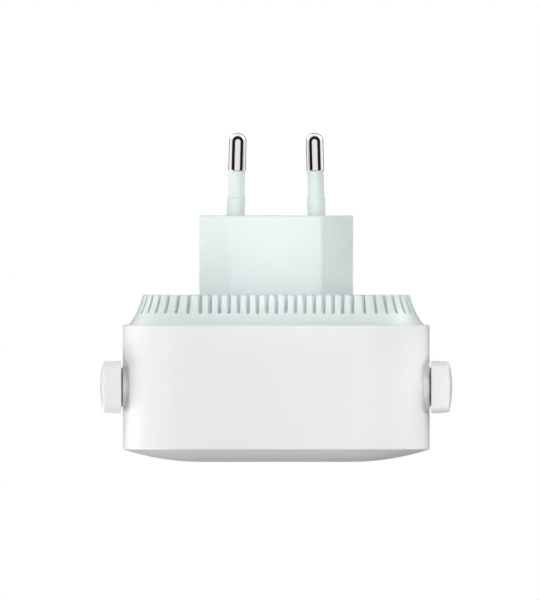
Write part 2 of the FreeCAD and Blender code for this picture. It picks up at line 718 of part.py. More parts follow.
def capacitor(x, z, diameter, high):
    """A can that stands on the power board, with its rolled groove near the foot and a broken top edge."""
    r, neck = diameter / 2, CAP_NECK
    can = turned_on_y(
        (0, 0),
        (r, 0),
        (r, -3 * neck),
        (r - neck, -4 * neck),
        (r - neck, -5 * neck),
        (r, -6 * neck),
        (r, neck - high),
        (r - neck, -high),
        (0, -high),
    )
    return can.translated(V(x, POWER_FRONT, z))


def fuse_resistor():
    length, r = FUSE_LENGTH, FUSE_D / 2
    y = POWER_FRONT - r
    body = rod(FUSE_X - length / 2, y, FUSE_Z, FUSE_D, length, V(1, 0, 0))
    waist = turned_on_x(
        (-length / 4, 0.88 * r), (-length / 4, r + 1), (length / 4, r + 1), (length / 4, 0.88 * r)
    )
    return body.cut(waist.translated(V(FUSE_X, y, FUSE_Z)))


def emi_choke():
    r, rim, waist = CHOKE_D / 2, CHOKE_RIM_T, CHOKE_WAIST
    drum = turned_on_y(
        (0, 0),
        (r, 0),
        (r, -rim),
        (r - waist, -rim),
        (r - waist, rim - CHOKE_H),
        (r, rim - CHOKE_H),
        (r, -CHOKE_H),
        (0, -CHOKE_H),
    )
    return drum.translated(V(CHOKE_X, POWER_FRONT, CHOKE_Z))


def y_capacitor():
    """A disc on its edge, its foot cut flat where it meets the board."""
    r = Y_CAP_D / 2
    disc = rod(Y_CAP_X, POWER_FRONT - r + 0.2, Y_CAP_Z - Y_CAP_T / 2, Y_CAP_D, Y_CAP_T, V(0, 0, 1))
    return disc.cut(block(Y_CAP_X, POWER_FRONT, Y_CAP_Z, Y_CAP_D, Y_CAP_D, Y_CAP_D))


def header():
    """The pins from board to board, their base on the power board and their socket on the main board."""
    start = HEADER_X - (HEADER_PINS - 1) * HEADER_PITCH / 2
    places = [start + k * HEADER_PITCH for k in range(HEADER_PINS)]
    length = POWER_FRONT - MAIN_REAR
    pins = [rod(x, MAIN_REAR, HEADER_Z, HEADER_PIN_D, length) for x in places]
    loose = HEADER_PIN_D + 2 * SEAT_FIT
    holes = [rod(x, MAIN_REAR - 1, HEADER_Z, loose, length + 2) for x in places]
    wide = HEADER_PINS * HEADER_PITCH
    low = POWER_FRONT - HEADER_BASE_H
    base = block(HEADER_X, low, HEADER_Z, wide, HEADER_BASE_H, HEADER_THICK)
    socket = block(HEADER_X, MAIN_REAR, HEADER_Z, wide, HEADER_SOCKET_H, HEADER_THICK)
    return Part.makeCompound(pins), base.cut(holes), socket.cut(holes)


def shield_can():
    sheet = CAN_SHEET
    can = on_main(CAN_X, CAN_Z, (CAN_W, CAN_T, CAN_H))
    return can.cut(on_main(CAN_X, CAN_Z, (CAN_W - 2 * sheet, CAN_T - sheet, CAN_H - 2 * sheet)))


def light_pipe():
    """A clear rod from the lamp to the dome's surface, with a flange inside the dome."""
    low = dome_y(abs(LED_Z) + PIPE_D / 2) + 0.02
    high = MAIN_FRONT - LED_SIZE[1] - PIPE_GAP
    seat = dome_y(abs(LED_Z) + PIPE_FLANGE_D / 2, DOME_WALL) + SEAT_FIT
    flange = rod(0, seat, LED_Z, PIPE_FLANGE_D, PIPE_FLANGE_T)
    return rod(0, low, LED_Z, PIPE_D, high - low).fuse(flange).removeSplitter()


# ---------------------------------------------------------------- button
def tact_switch():
    wide, deep, high = SWITCH_SIZE
    body = block(BUTTON_X, MAIN_REAR, SWITCH_TOP - high / 2, wide, deep, high)
    sunk = PLUNGER_SUNK + BUTTON_TRAVEL + 0.3
    loose = PLUNGER_D + 2 * SLIDE_FIT
    return body.cut(rod(BUTTON_X, BUTTON_Y, SWITCH_TOP - sunk, loose, sunk + 1, V(0, 0, 1)))


def switch_plunger():
    low = SWITCH_TOP - PLUNGER_SUNK
    length = PLUNGER_SUNK + PLUNGER_SHOWS
    return rod(BUTTON_X, BUTTON_Y, low, PLUNGER_D, length, V(0, 0, 1))


def pairing_button():
    top = HALF + BUTTON_PROUD
    lip_top = HALF_IN - SEAT_FIT
    cap = pill(BUTTON_X, BUTTON_Y, lip_top - BUTTON_LIP_T, top, BUTTON_W, BUTTON_D)
    rim = [e for e in cap.Edges if e.BoundBox.ZMin > top - 1e-6]
    cap = cap.makeFillet(min(BUTTON_PROUD, BUTTON_D / 2) * 0.6, rim)
    lip_w, lip_d = BUTTON_W + 2 * BUTTON_LIP, BUTTON_D + 2 * BUTTON_LIP
    lip = pill(BUTTON_X, BUTTON_Y, lip_top - BUTTON_LIP_T, lip_top, lip_w, lip_d)
    foot = SWITCH_TOP + PLUNGER_SHOWS
    stem = rod(BUTTON_X, BUTTON_Y, foot, BUTTON_STEM_D, lip_top - foot, V(0, 0, 1))
    return cap.fuse([lip, stem]).removeSplitter()


# ---------------------------------------------------------------- antennas, modelled on the right
def antenna_crown():
    """What the outer face keeps: a bar crowned across its width, which falls away alike at both ends."""
    edge_w, rise = ANT_HALF_W - ANTENNA_DRAFT, ANTENNA_DOME
    radius = (edge_w**2 + rise**2) / (2 * rise)
    reach = edge_w + 0.5
    base, peak = ANT_IN - 1, ANT_EDGE + rise

    def depth(out):
        return peak - radius + math.sqrt(radius**2 - out**2)

    low, high = edge_w + ANTENNA_DRAFT - ANTENNA_FOOT, ANT_TIP - edge_w - ANTENNA_DRAFT
    half = reach / 2
    across = [(base, -reach), (depth(reach), -reach), ((peak, 0), (depth(reach), reach)), (base, reach)]
    foot_arc = ((depth(half), low - half), (peak, low))
    tip_arc = ((depth(half), high + half), (depth(reach), high + reach))
    along = [(base, low - reach), (depth(reach), low - reach), foot_arc, (peak, high), tip_arc]
    along += [(base, high + reach)]
    wide = profile(*across).extrude(V(0, 0, high - low + 2 * reach)).translated(V(0, 0, low - reach))
    edges = path_edges(along, lambda x, z: V(x, -reach, z))
    return wide.common(Part.Face(Part.Wire(edges)).extrude(V(0, 2 * reach, 0)))


def antenna_case():
    top = ANT_EDGE + ANTENNA_DOME
    taper = ANTENNA_DRAFT * (top - ANT_IN) / ANTENNA_T
    ends = [paddle_face(0, ANT_IN).OuterWire, paddle_face(taper, top).OuterWire]
    outer = Part.makeLoft(ends, True, True).common(antenna_crown())
    rim = [e for e in outer.Edges if e.BoundBox.XMax < ANT_IN + 1e-6]
    outer = outer.makeFillet(ANTENNA_EDGE, rim)
    inner_wall = ANTENNA_WALL + ANTENNA_LEDGE
    seat = paddle(ANTENNA_WALL, ANT_IN - 1, COVER_IN)
    return at_hinge(outer.cut([seat, paddle(inner_wall, COVER_IN - 0.1, ANT_ROOF)]))


def antenna_cover():
    plate = paddle(ANTENNA_WALL + SEAT_FIT, ANT_IN, COVER_IN)
    hole = rod(ANT_IN - 1, 0, 0, BARREL_D + 2 * SEAT_FIT, ANTENNA_COVER_T + 2, V(1, 0, 0))
    return at_hinge(plate.cut(hole))


def antenna_board():
    low, high = HINGE_Z + ANTENNA_BOARD_LOW, ANTENNA_TOP - ANTENNA_BOARD_TOP
    middle_x = ANT_ROOF - ANTENNA_BOARD_T / 2
    low_y = HINGE_Y - ANTENNA_BOARD_W / 2
    return block(middle_x, low_y, (low + high) / 2, ANTENNA_BOARD_T, ANTENNA_BOARD_W, high - low)


def antenna_coax():
    """From the barrel's inner end, out along the hinge and up to the antenna's board."""
    x = ANT_ROOF - COAX_D / 2 - SEAT_FIT
    bend = COAX_BEND
    diagonal = bend * math.sqrt(0.5)
    start, turn = V(BARREL_X, 0, 0), V(x - bend, 0, 0)
    via, up, top = V(x - bend + diagonal, 0, bend - diagonal), V(x, 0, bend), V(x, 0, ANTENNA_BOARD_LOW)
    edges = [
        Part.LineSegment(start, turn).toShape(),
        Part.Arc(turn, via, up).toShape(),
        Part.LineSegment(up, top).toShape(),
    ]
    section = Part.Wire(Part.Circle(start, V(1, 0, 0), COAX_D / 2).toShape())
    return at_hinge(Part.Wire(edges).makePipeShell([section], True, True))


def hinge_barrel():
    r, bore, mouth = BARREL_D / 2, BARREL_BORE_D / 2, BARREL_MOUTH_D / 2
    flange, neck = BARREL_FLANGE_D / 2, BARREL_D / 2 - CLIP_GROOVE_DEPTH
    end = COVER_IN + BARREL_FLANGE_T
    return at_hinge(
        turned_on_x(
            (BARREL_X, bore),
            (BARREL_X, r),
            (CLIP_X, r),
            (CLIP_X, neck),
            (CLIP_X + CLIP_T, neck),
            (CLIP_X + CLIP_T, r),
            (COVER_IN, r),
            (COVER_IN, flange),
            (end, flange),
            (end, mouth),
            (COVER_IN, mouth),
            (COVER_IN - (mouth - bore), bore),
        )
    )


def washer(x_low, x_high, outer, inner):
    return at_hinge(turned_on_x((x_low, inner), (x_low, outer), (x_high, outer), (x_high, inner)))


def hinge_clip():
    inner = BARREL_D / 2 - CLIP_GROOVE_DEPTH + SEAT_FIT
    ring = washer(CLIP_X, CLIP_X + CLIP_T, CLIP_D / 2, inner)
    mouth = Part.makeBox(CLIP_T + 2, CLIP_MOUTH_W, CLIP_D, V(CLIP_X - 1, -CLIP_MOUTH_W / 2, 0))
    return ring.cut(at_hinge(mouth))


def coax_plug():
    return rod(COAX_PLUG_X, MAIN_REAR, COAX_PLUG_Z, COAX_PLUG_D, COAX_PLUG_T)


def coax():
    """From the plug on the main board to the hinge barrel's inner end."""
    y = MAIN_REAR + COAX_PLUG_T / 2
    side = COAX_PLUG_X + math.sqrt((COAX_PLUG_D / 2) ** 2 - (COAX_D / 2) ** 2)
    drop = V(COAX_DROP_X, HINGE_Y, HINGE_Z)
    low = V((side + COAX_DROP_X) / 2, y, COAX_DROP_Z)
    elbow = V(side + (low.x - side) / 2, y, COAX_PLUG_Z)
    points = [V(BARREL_X, HINGE_Y, HINGE_Z), drop, low, elbow, V(side, y, COAX_PLUG_Z)]
    whole = cable(points, COAX_D)
    return whole.cut(rod(COAX_PLUG_X, MAIN_REAR - 1, COAX_PLUG_Z, COAX_PLUG_D, COAX_PLUG_T + 2))


# ---------------------------------------------------------------- the whole part
def pieces():
    made = {
        "front_shell": front_shell(),
        "rear_cover": rear_cover(),
        "plug_block": plug_block(),
        "power_board": power_board(),
        "power_board_screws": screws(board_corners(POWER_POST_X, POWER_POST_Z), POWER_FRONT, 1),
        "bulk_capacitor": capacitor(BULK_CAP_X, BULK_CAP_Z, BULK_CAP_D, BULK_CAP_H),
        "output_capacitor": capacitor(OUTPUT_CAP_X, OUTPUT_CAP_Z, OUTPUT_CAP_D, OUTPUT_CAP_H),
        "bridge_rectifier": on_power(RECTIFIER_X, RECTIFIER_Z, RECTIFIER_SIZE),
        "fuse_resistor": fuse_resistor(),
        "emi_choke": emi_choke(),
        "y_capacitor": y_capacitor(),
        "power_controller": on_power(CONTROLLER_X, CONTROLLER_Z, CONTROLLER_SIZE),
        "main_board": main_board(),
        "main_board_screws": screws(board_corners(MAIN_POST_AT, MAIN_POST_AT), MAIN_REAR, -1),
        "shield_can": shield_can(),
        "wifi_chip": on_main(CAN_X + WIFI_CHIP_DX, CAN_Z, WIFI_CHIP_SIZE),
        "flash_chip": on_main(CAN_X + FLASH_CHIP_DX, CAN_Z + FLASH_CHIP_DZ, FLASH_CHIP_SIZE),
        "crystal": on_main(CAN_X + CRYSTAL_DX, CAN_Z + CRYSTAL_DZ, CRYSTAL_SIZE),
        "status_led": on_main(0, LED_Z, LED_SIZE),
        "light_pipe": light_pipe(),
        "tact_switch": tact_switch(),
        "switch_plunger": switch_plunger(),
        "pairing_button": pairing_button(),
    }
    names = ("transformer_base", "transformer_core", "transformer_winding")
    made.update(zip(names, transformer()))
    made.update(zip(("header_pins", "header_base", "header_socket"), header()))
    ring_in = BARREL_D / 2 + SEAT_FIT
    handed = {
        "antenna_case": antenna_case(),
        "antenna_cover": antenna_cover(),
        "antenna_board": antenna_board(),
        "antenna_coax": antenna_coax(),
        "hinge_barrel": hinge_barrel(),
        "hinge_clip": hinge_clip(),
        "friction_ring": washer(HALF + SEAT_FIT, ANT_IN, FRICTION_RING_D / 2, ring_in),
        "hinge_washer": washer(SEAT_X - HINGE_WASHER_T, SEAT_X, HINGE_WASHER_D / 2, BARREL_D / 2 + RUN_FIT),
        "coax": coax(),
        "coax_plug": coax_plug(),
    }
    for word, side in (("left", -1), ("right", 1)):
        made[f"pin_{word}"] = pin(side)
        made[f"pin_sleeve_{word}"] = pin_sleeve(side)
        for name, shape in handed.items():
            made[f"{name}_{word}"] = on_side(shape, side)
    return made


os.makedirs("parts", exist_ok=True)
for node, shape in pieces().items():
    shape.exportStep(f"parts/{node}.step")
    volume = sum(s.Volume for s in shape.Solids)
    print(f"{node}: {len(shape.Solids)} solid(s), {volume:.1f} mm3, valid {shape.isValid()}")
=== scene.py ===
# %% [markdown]
# # A plug-in wifi range extender
#
# The object is a white moulded case that hangs in a mains socket by its own pins. Behind the case sits a ring
# full of vent slots, and a flat paddle antenna swivels at each side. The mechanical model gives every piece
# its place and size. Here the pieces that show get finer meshes, and every piece gets the material it is made
# of.

import json
import math

import bmesh
import bpy
from mathutils import Matrix, Vector


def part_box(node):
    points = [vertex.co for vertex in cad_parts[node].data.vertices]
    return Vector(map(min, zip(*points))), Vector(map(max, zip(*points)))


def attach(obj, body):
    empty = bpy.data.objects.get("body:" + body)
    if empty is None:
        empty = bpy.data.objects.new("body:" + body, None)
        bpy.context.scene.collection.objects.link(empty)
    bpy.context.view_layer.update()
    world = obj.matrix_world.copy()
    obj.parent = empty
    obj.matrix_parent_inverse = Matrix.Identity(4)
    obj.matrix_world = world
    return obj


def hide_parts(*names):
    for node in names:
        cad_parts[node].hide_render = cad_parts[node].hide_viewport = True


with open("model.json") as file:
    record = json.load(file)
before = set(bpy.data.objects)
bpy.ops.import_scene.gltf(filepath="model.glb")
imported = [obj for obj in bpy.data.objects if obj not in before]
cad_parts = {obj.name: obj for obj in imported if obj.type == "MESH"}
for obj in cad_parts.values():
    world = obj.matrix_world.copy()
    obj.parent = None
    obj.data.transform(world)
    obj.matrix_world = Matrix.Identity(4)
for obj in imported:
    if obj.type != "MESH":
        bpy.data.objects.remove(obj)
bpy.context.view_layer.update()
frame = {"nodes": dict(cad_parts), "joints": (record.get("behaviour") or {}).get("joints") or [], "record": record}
nodes = frame["nodes"]
MM = 0.001

# %% [markdown]
# ## Camera
#
# The product is looked at squarely from below, with its pins up. An orthographic camera keeps the level edges
# of the case level and parallel. A perspective camera far away would come close, but would still bend the
# rims.

# %% Camera
VIEW_SPAN = 138.25 * MM  # height of the picture, at the object
VIEW_CENTRE = (1.43 * MM, -19.5 * MM)
VIEW_DROP = 250 * MM  # camera below the plug

lens = bpy.data.cameras.new("camera")
lens.type = "ORTHO"
lens.ortho_scale = VIEW_SPAN
lens.clip_start = 0.01
lens.clip_end = 20
camera = bpy.data.objects.new("camera", lens)
bpy.context.scene.collection.objects.link(camera)
camera.location = (VIEW_CENTRE[0], VIEW_CENTRE[1], -VIEW_DROP)
camera.rotation_euler = (0, math.pi, 0)
bpy.context.scene.camera = camera
print("camera looks up from", tuple(round(v, 4) for v in camera.location))

# %% [markdown]
# ## Nodes, colours and plain meshes
#
# Every material and every geometry tree below is built with one small function, which adds a node and fills
# or links its sockets. Colours are written as designers write them, in sRGB hex, and turned to the linear
# values that the renderer works with. Two more functions put an object into the scene.


# %% Helpers
def linear(colour):
    """An sRGB hex colour as the linear values that Blender's sockets hold."""
    channels = [int(colour[i : i + 2], 16) / 255 for i in (1, 3, 5)]
    return tuple(c / 12.92 if c <= 0.04045 else ((c + 0.055) / 1.055) ** 2.4 for c in channels) + (1.0,)


def feed(tree, node, inputs):
    """Gives sockets a value, the socket that feeds them, or the node whose first output does."""
    for key, value in inputs.items():
        if isinstance(value, bpy.types.Node):
            value = value.outputs[0]
        if isinstance(value, bpy.types.NodeSocket):
            tree.links.new(value, node.inputs[key])
        else:
            node.inputs[key].default_value = value


def add(tree, kind, inputs=None, **settings):
    """Adds a node and feeds it. settings are its own properties."""
    node = tree.nodes.new(kind)
    for name, value in settings.items():
        setattr(node, name, value)
    feed(tree, node, inputs or {})
    return node


def start_material(name):
    """A new material, its tree and its shader."""
    material = bpy.data.materials.new(name)
    material.use_nodes = True
    return material, material.node_tree, material.node_tree.nodes["Principled BSDF"]


def as_object(name, data):
    """An object in the scene from a mesh or a lamp."""
    made = bpy.data.objects.new(name, data)
    bpy.context.scene.collection.objects.link(made)
    return made


def made_of(name, spots, edges=(), faces=()):
    """An object from plain lists of points, edges and faces."""
    mesh = bpy.data.meshes.new(name)
    mesh.from_pydata(spots, edges, faces)
    return as_object(name, mesh)


print("middle grey is", round(linear("#808080")[0], 3), "in linear light")

# %% [markdown]
# ## Studio
#
# A white product on a white ground shows its shape only by small steps of grey, so the lamps are many and
# weak. Each stands at a place given by two angles: how far round from straight below, and how far towards the
# wall. The strips low at both sides model the rounded corners. The boxes level with the case light its flanks
# and leave the plug block in the shade of the case. The ones towards the wall and above light the back and
# the top. Two very small ones stand close, like little reflectors held beside the product. The camera sees
# none of them. Reflections see only the four boxes beside the case, so that the pins and the dome stay free
# of stray lines.
#
# The world is white where the camera or a reflection sees it, and only a dim grey where it lights the object,
# because a full white world would wash out all shading.

# %% Lamps
CENTRE = Vector((0, -30 * MM, 0))


def softbox(name, turn, rise, away, size, watts, aim=CENTRE, spread=180, mirrored=True):
    """turn goes from straight below (0) over the left side (90), rise from there towards the wall (90).
    away is how far the lamp stands from what it is aimed at."""
    turn, rise = math.radians(turn), math.radians(rise)
    out = Vector((math.sin(turn) * math.cos(rise), math.sin(rise), -math.cos(turn) * math.cos(rise)))
    across = Vector((math.cos(turn), 0, math.sin(turn)))
    lamp = bpy.data.lights.new(name, "AREA")
    lamp.shape = "RECTANGLE"
    lamp.size, lamp.size_y = size
    lamp.energy = watts
    lamp.spread = math.radians(spread)
    box = as_object(name, lamp)
    facing = Matrix((across, out.cross(across), out)).transposed().to_4x4()
    box.matrix_world = Matrix.Translation(Vector(aim) + out * away) @ facing
    box.visible_camera = False
    box.visible_glossy = mirrored


BOX, STRIP = (0.15, 0.26), (0.06, 0.14)
BLOCK_SPOT = (0, -6 * MM, 0)
EDGE_SPOT = (-30 * MM, -43 * MM, -30 * MM)
softbox("left front box", 88, -40, 0.45, BOX, 0.75)
softbox("left box", 110, -20, 0.45, BOX, 0.51)
softbox("left wall box", 135, 40, 0.45, BOX, 0.32)
softbox("right wall box", -110, 40, 0.45, BOX, 0.52)
softbox("top box", 180, 35, 0.45, BOX, 0.35, mirrored=False)
softbox("left strip", 52, 0, 0.25, STRIP, 0.10, mirrored=False)
softbox("left wall strip", 52, 32, 0.25, STRIP, 0.12, mirrored=False)
softbox("right front strip", -26, -32, 0.25, STRIP, 0.12, mirrored=False)
softbox("right wall strip", -26, 32, 0.25, STRIP, 0.106, mirrored=False)
softbox("block reflector", 0, 0, 0.085, (0.03, 0.03), 0.0008, BLOCK_SPOT, 36, False)
softbox("right edge reflector", -66, 0, 0.0985, (0.06, 0.03), 0.0047, EDGE_SPOT, 60, False)
print("lamps:", len(bpy.data.lights))

# %% World
world = bpy.data.worlds.new("studio")
bpy.context.scene.world = world
world.use_nodes = True
tree = world.node_tree
tree.nodes.clear()


def seen_directly(tree):
    """1 where the camera, a mirror or glass sees the surface, and 0 where the surface lights something."""
    path = add(tree, "ShaderNodeLightPath").outputs
    seen = add(tree, "ShaderNodeMath", {0: path["Is Camera Ray"], 1: path["Is Glossy Ray"]}).outputs[0]
    return add(tree, "ShaderNodeMath", {0: seen, 1: path["Is Transmission Ray"]}, use_clamp=True).outputs[0]


WHITE = (1, 1, 1, 1)
WORLD_LIGHT = 0.12  # of what is seen of it
seen = seen_directly(tree)
strength = add(tree, "ShaderNodeMapRange", {"Value": seen, "To Min": WORLD_LIGHT, "To Max": 1.0})
light = add(tree, "ShaderNodeBackground", {"Color": WHITE, "Strength": strength})
add(tree, "ShaderNodeOutputWorld", {"Surface": light})
print("world:", world.name, "lights with", WORLD_LIGHT, "of its white")

# %% [markdown]
# ## Floor and flags
#
# The bright metal of the pins needs something dark to reflect, or it would look like white plastic. The dome,
# seen at a glancing angle, reflects what is behind it, and would vanish into the white ground. A studio puts
# black flags round the product for this. Here they are a dark collar below and a dark card above, and only
# reflections see them.
#
# The floor is painted a pale grey. What is seen of it is mostly a plain white glow, so that it stays pale
# however little light falls on it, and the rest keeps the object's shadow.

# %% Floor and flags
FLOOR_DROP = 300 * MM  # sockets sit about this far above a floor
FLOOR_GLOW = 0.85  # the share of what is seen of the floor that is plain white
CARD_HEIGHT = 0.5


def plane(name, low, high, height):
    spots = [(low[0], low[1], height), (high[0], low[1], height), (high[0], high[1], height)]
    return made_of(name, [*spots, (low[0], high[1], height)], faces=[(0, 1, 2, 3)])


def cone(name, near, far, steps=64):
    """A cone's side between two rings, each given as (radius, height)."""
    turns = [2 * math.pi * k / steps for k in range(steps)]
    spots = [(r * math.cos(a), r * math.sin(a), height) for r, height in (near, far) for a in turns]
    faces = [(k, (k + 1) % steps, steps + (k + 1) % steps, steps + k) for k in range(steps)]
    return made_of(name, spots, faces=faces)


floor = plane("floor", (-3, -3), (3, 3), -FLOOR_DROP)
painted, tree, shader = start_material("matt floor paint")
feed(tree, shader, {"Base Color": linear("#f4f5f5"), "Roughness": 0.9})
glow = add(tree, "ShaderNodeEmission", {"Color": WHITE, "Strength": 1.0})
share = add(tree, "ShaderNodeMath", {0: seen_directly(tree), 1: FLOOR_GLOW}, operation="MULTIPLY")
both = add(tree, "ShaderNodeMixShader", {0: share, 1: shader, 2: glow})
feed(tree, tree.nodes["Material Output"], {"Surface": both})
floor.data.materials.append(painted)

cloth, tree, shader = start_material("black flag cloth")
feed(tree, shader, {"Base Color": linear("#0b0b0b"), "Roughness": 1.0})
collar = cone("black collar", (0.20, -0.285), (0.42, -0.07))
card = plane("black card", (-0.45, -0.9), (0.45, 0.45), CARD_HEIGHT)
for flag in (collar, card):
    flag.visible_camera = flag.visible_diffuse = flag.visible_transmission = flag.visible_shadow = False
    flag.data.materials.append(cloth)

bpy.context.scene.view_settings.view_transform = "Standard"
print("studio: floor", FLOOR_DROP, "m below the plug")

# %% [markdown]
# ## Moulded plastics
#
# The case is a blend of ABS and polycarbonate, moulded in a tool with a fine spark-eroded texture. To the eye
# that is a soft satin: highlights are wide, and only a very close look shows the grain. A grain of a tenth of
# a millimetre is too fine for the picture, so it is drawn a few times coarser. Moulded colour is never quite
# even, so a broad, faint cloud moves the colour and the gloss a little.
#
# Most real surfaces are of this kind: a colour that wanders, a gloss that wanders with it, and a fine relief.
# So one function makes them all, and what differs is passed in. stretch draws the pattern out along an axis,
# as brushing or winding does.


# %% Surfaces that wander a little
GLOSS_WANDER = 0.03
RELIEF_DEPTH = 0.02 * MM


def surface(
    name, pale, deep, roughness, grain_mm, cloud_mm, ior=1.5, metal=0.0, stretch=(1, 1, 1), relief=0.12
):
    material, tree, shader = start_material(name)
    place = add(tree, "ShaderNodeTexCoord").outputs["Object"]
    place = add(tree, "ShaderNodeMapping", {"Vector": place, "Scale": stretch})
    cloud = add(tree, "ShaderNodeTexNoise", {"Vector": place, "Scale": 1 / (cloud_mm * MM), "Detail": 2.0})
    tint = add(tree, "ShaderNodeMix", {"Factor": cloud, "A": linear(deep), "B": linear(pale)}, data_type="RGBA")
    low, high = roughness - GLOSS_WANDER, roughness + GLOSS_WANDER
    gloss = add(tree, "ShaderNodeMapRange", {"Value": cloud, "To Min": low, "To Max": high})
    grain = add(tree, "ShaderNodeTexNoise", {"Vector": place, "Scale": 1 / (grain_mm * MM), "Detail": 3.0})
    bump = add(tree, "ShaderNodeBump", {"Height": grain, "Strength": relief, "Distance": RELIEF_DEPTH})
    feed(tree, shader, {"Base Color": tint.outputs["Result"], "Roughness": gloss, "Normal": bump})
    feed(tree, shader, {"Metallic": metal} if metal else {"IOR": ior})
    return material


case_white = surface("case white ABS-polycarbonate, spark-eroded", "#f1f1f1", "#eeeeee", 0.34, 0.35, 18, 1.53)
cover_white = surface("cover white polycarbonate, satin", "#e9f2f1", "#e4eeed", 0.36, 0.35, 18, 1.53)
sleeve_white = surface("sleeve white polyamide, moulded on", "#e9f2f1", "#e5efee", 0.42, 0.25, 6, 1.53)
hinge_grey = surface("hinge grey acetal, turned smooth", "#c9cbcc", "#c2c4c5", 0.38, 0.2, 5, 1.48)
print("plastics:", case_white.name, "|", cover_white.name, "|", sleeve_white.name, "|", hinge_grey.name)

# %% [markdown]
# ## Nickel-plated pins
#
# Plug pins are turned from brass and plated with nickel. The plating is bright but not a mirror: fine turning
# rings stay under it. They are drawn as thin bands along the pin, a fifth of a millimetre apart. A wave
# texture of scale one has twenty bands in its unit length, so a band's width times twenty gives the scale.


# %% Nickel
WAVE_BANDS = 20
RING_PITCH = 0.2 * MM


def nickel_plate():
    material, tree, shader = start_material("bright nickel plate on turned brass")
    place = add(tree, "ShaderNodeTexCoord").outputs["Object"]
    rings = add(
        tree,
        "ShaderNodeTexWave",
        {"Vector": place, "Scale": 1 / (WAVE_BANDS * RING_PITCH), "Distortion": 0.6, "Detail": 1.0},
        bands_direction="Y",
    ).outputs["Fac"]
    smear = add(tree, "ShaderNodeTexNoise", {"Vector": place, "Scale": 1 / (1.5 * MM), "Detail": 2.0})
    gloss = add(tree, "ShaderNodeMapRange", {"Value": smear, "To Min": 0.10, "To Max": 0.17})
    bump = add(tree, "ShaderNodeBump", {"Height": rings, "Strength": 0.06, "Distance": 0.01 * MM})
    feed(tree, shader, {"Base Color": linear("#f0efed"), "Metallic": 1.0, "Roughness": gloss, "Normal": bump})
    return material


nickel = nickel_plate()
print("metal:", nickel.name)

# %% [markdown]
# ## Finishes of the pieces inside
#
# The boards and what stands on them are out of sight until the case is opened, or until the model is used in
# another picture. Each gets the finish of its real material. Most are surfaces that wander. Three need a
# pattern of their own: the board's lacquer, which lies over copper tracks, the tape on the transformer, which
# is wound on in overlapping turns, and the milky light pipe.


# %% Board lacquer, tape and milky acrylic
TAPE_PITCH = 2.4 * MM


def board_lacquer():
    """Green lacquer that is lighter and a hair proud over its copper tracks."""
    material, tree, shader = start_material("green lacquer over copper tracks")
    place = add(tree, "ShaderNodeTexCoord").outputs["Object"]
    place = add(tree, "ShaderNodeMapping", {"Vector": place, "Rotation": (math.radians(90), 0, 0)})
    colours = {"Color1": linear("#0f4a2c"), "Color2": linear("#124f30"), "Mortar": linear("#2f7a4c")}
    sizes = {"Scale": 1 / MM, "Mortar Size": 0.12, "Mortar Smooth": 0.2, "Brick Width": 3.4, "Row Height": 0.9}
    track = add(tree, "ShaderNodeTexBrick", {"Vector": place} | colours | sizes).outputs
    bump = add(tree, "ShaderNodeBump", {"Height": track["Fac"], "Strength": 0.5, "Distance": 0.03 * MM})
    cloud = add(tree, "ShaderNodeTexNoise", {"Vector": place, "Scale": 1 / (6 * MM)})
    gloss = add(tree, "ShaderNodeMapRange", {"Value": cloud, "To Min": 0.22, "To Max": 0.34})
    feed(tree, shader, {"Base Color": track["Color"], "Roughness": gloss, "Normal": bump})
    return material


def winding_tape():
    """Yellow polyester tape, wound on in turns that overlap."""
    material, tree, shader = start_material("yellow polyester tape, wound")
    place = add(tree, "ShaderNodeTexCoord").outputs["Object"]
    turns = add(
        tree,
        "ShaderNodeTexWave",
        {"Vector": place, "Scale": 1 / (WAVE_BANDS * TAPE_PITCH), "Distortion": 0.4, "Detail": 1.0},
        bands_direction="Y",
        wave_profile="SAW",
    ).outputs["Fac"]
    colours = {"A": linear("#c78f1e"), "B": linear("#e6b63a")}
    tint = add(tree, "ShaderNodeMix", {"Factor": turns} | colours, data_type="RGBA")
    bump = add(tree, "ShaderNodeBump", {"Height": turns, "Strength": 0.3, "Distance": 0.06 * MM})
    feed(tree, shader, {"Base Color": tint.outputs["Result"], "Roughness": 0.28, "Normal": bump})
    return material


def milky_acrylic():
    """A light pipe of milky acrylic, so that its lamp shows as an even spot."""
    material, tree, shader = start_material("milky acrylic, moulded")
    place = add(tree, "ShaderNodeTexCoord").outputs["Object"]
    frost = add(tree, "ShaderNodeTexNoise", {"Vector": place, "Scale": 1 / (0.25 * MM), "Detail": 3.0})
    gloss = add(tree, "ShaderNodeMapRange", {"Value": frost, "To Min": 0.25, "To Max": 0.40})
    bump = add(tree, "ShaderNodeBump", {"Height": frost, "Strength": 0.15, "Distance": RELIEF_DEPTH})
    feed(tree, shader, {"Base Color": linear("#eef3f4"), "Transmission Weight": 0.3, "IOR": 1.49})
    feed(tree, shader, {"Roughness": gloss, "Normal": bump})
    return material


lacquer, tape, acrylic = board_lacquer(), winding_tape(), milky_acrylic()
print("patterns:", lacquer.name, "|", tape.name, "|", acrylic.name)

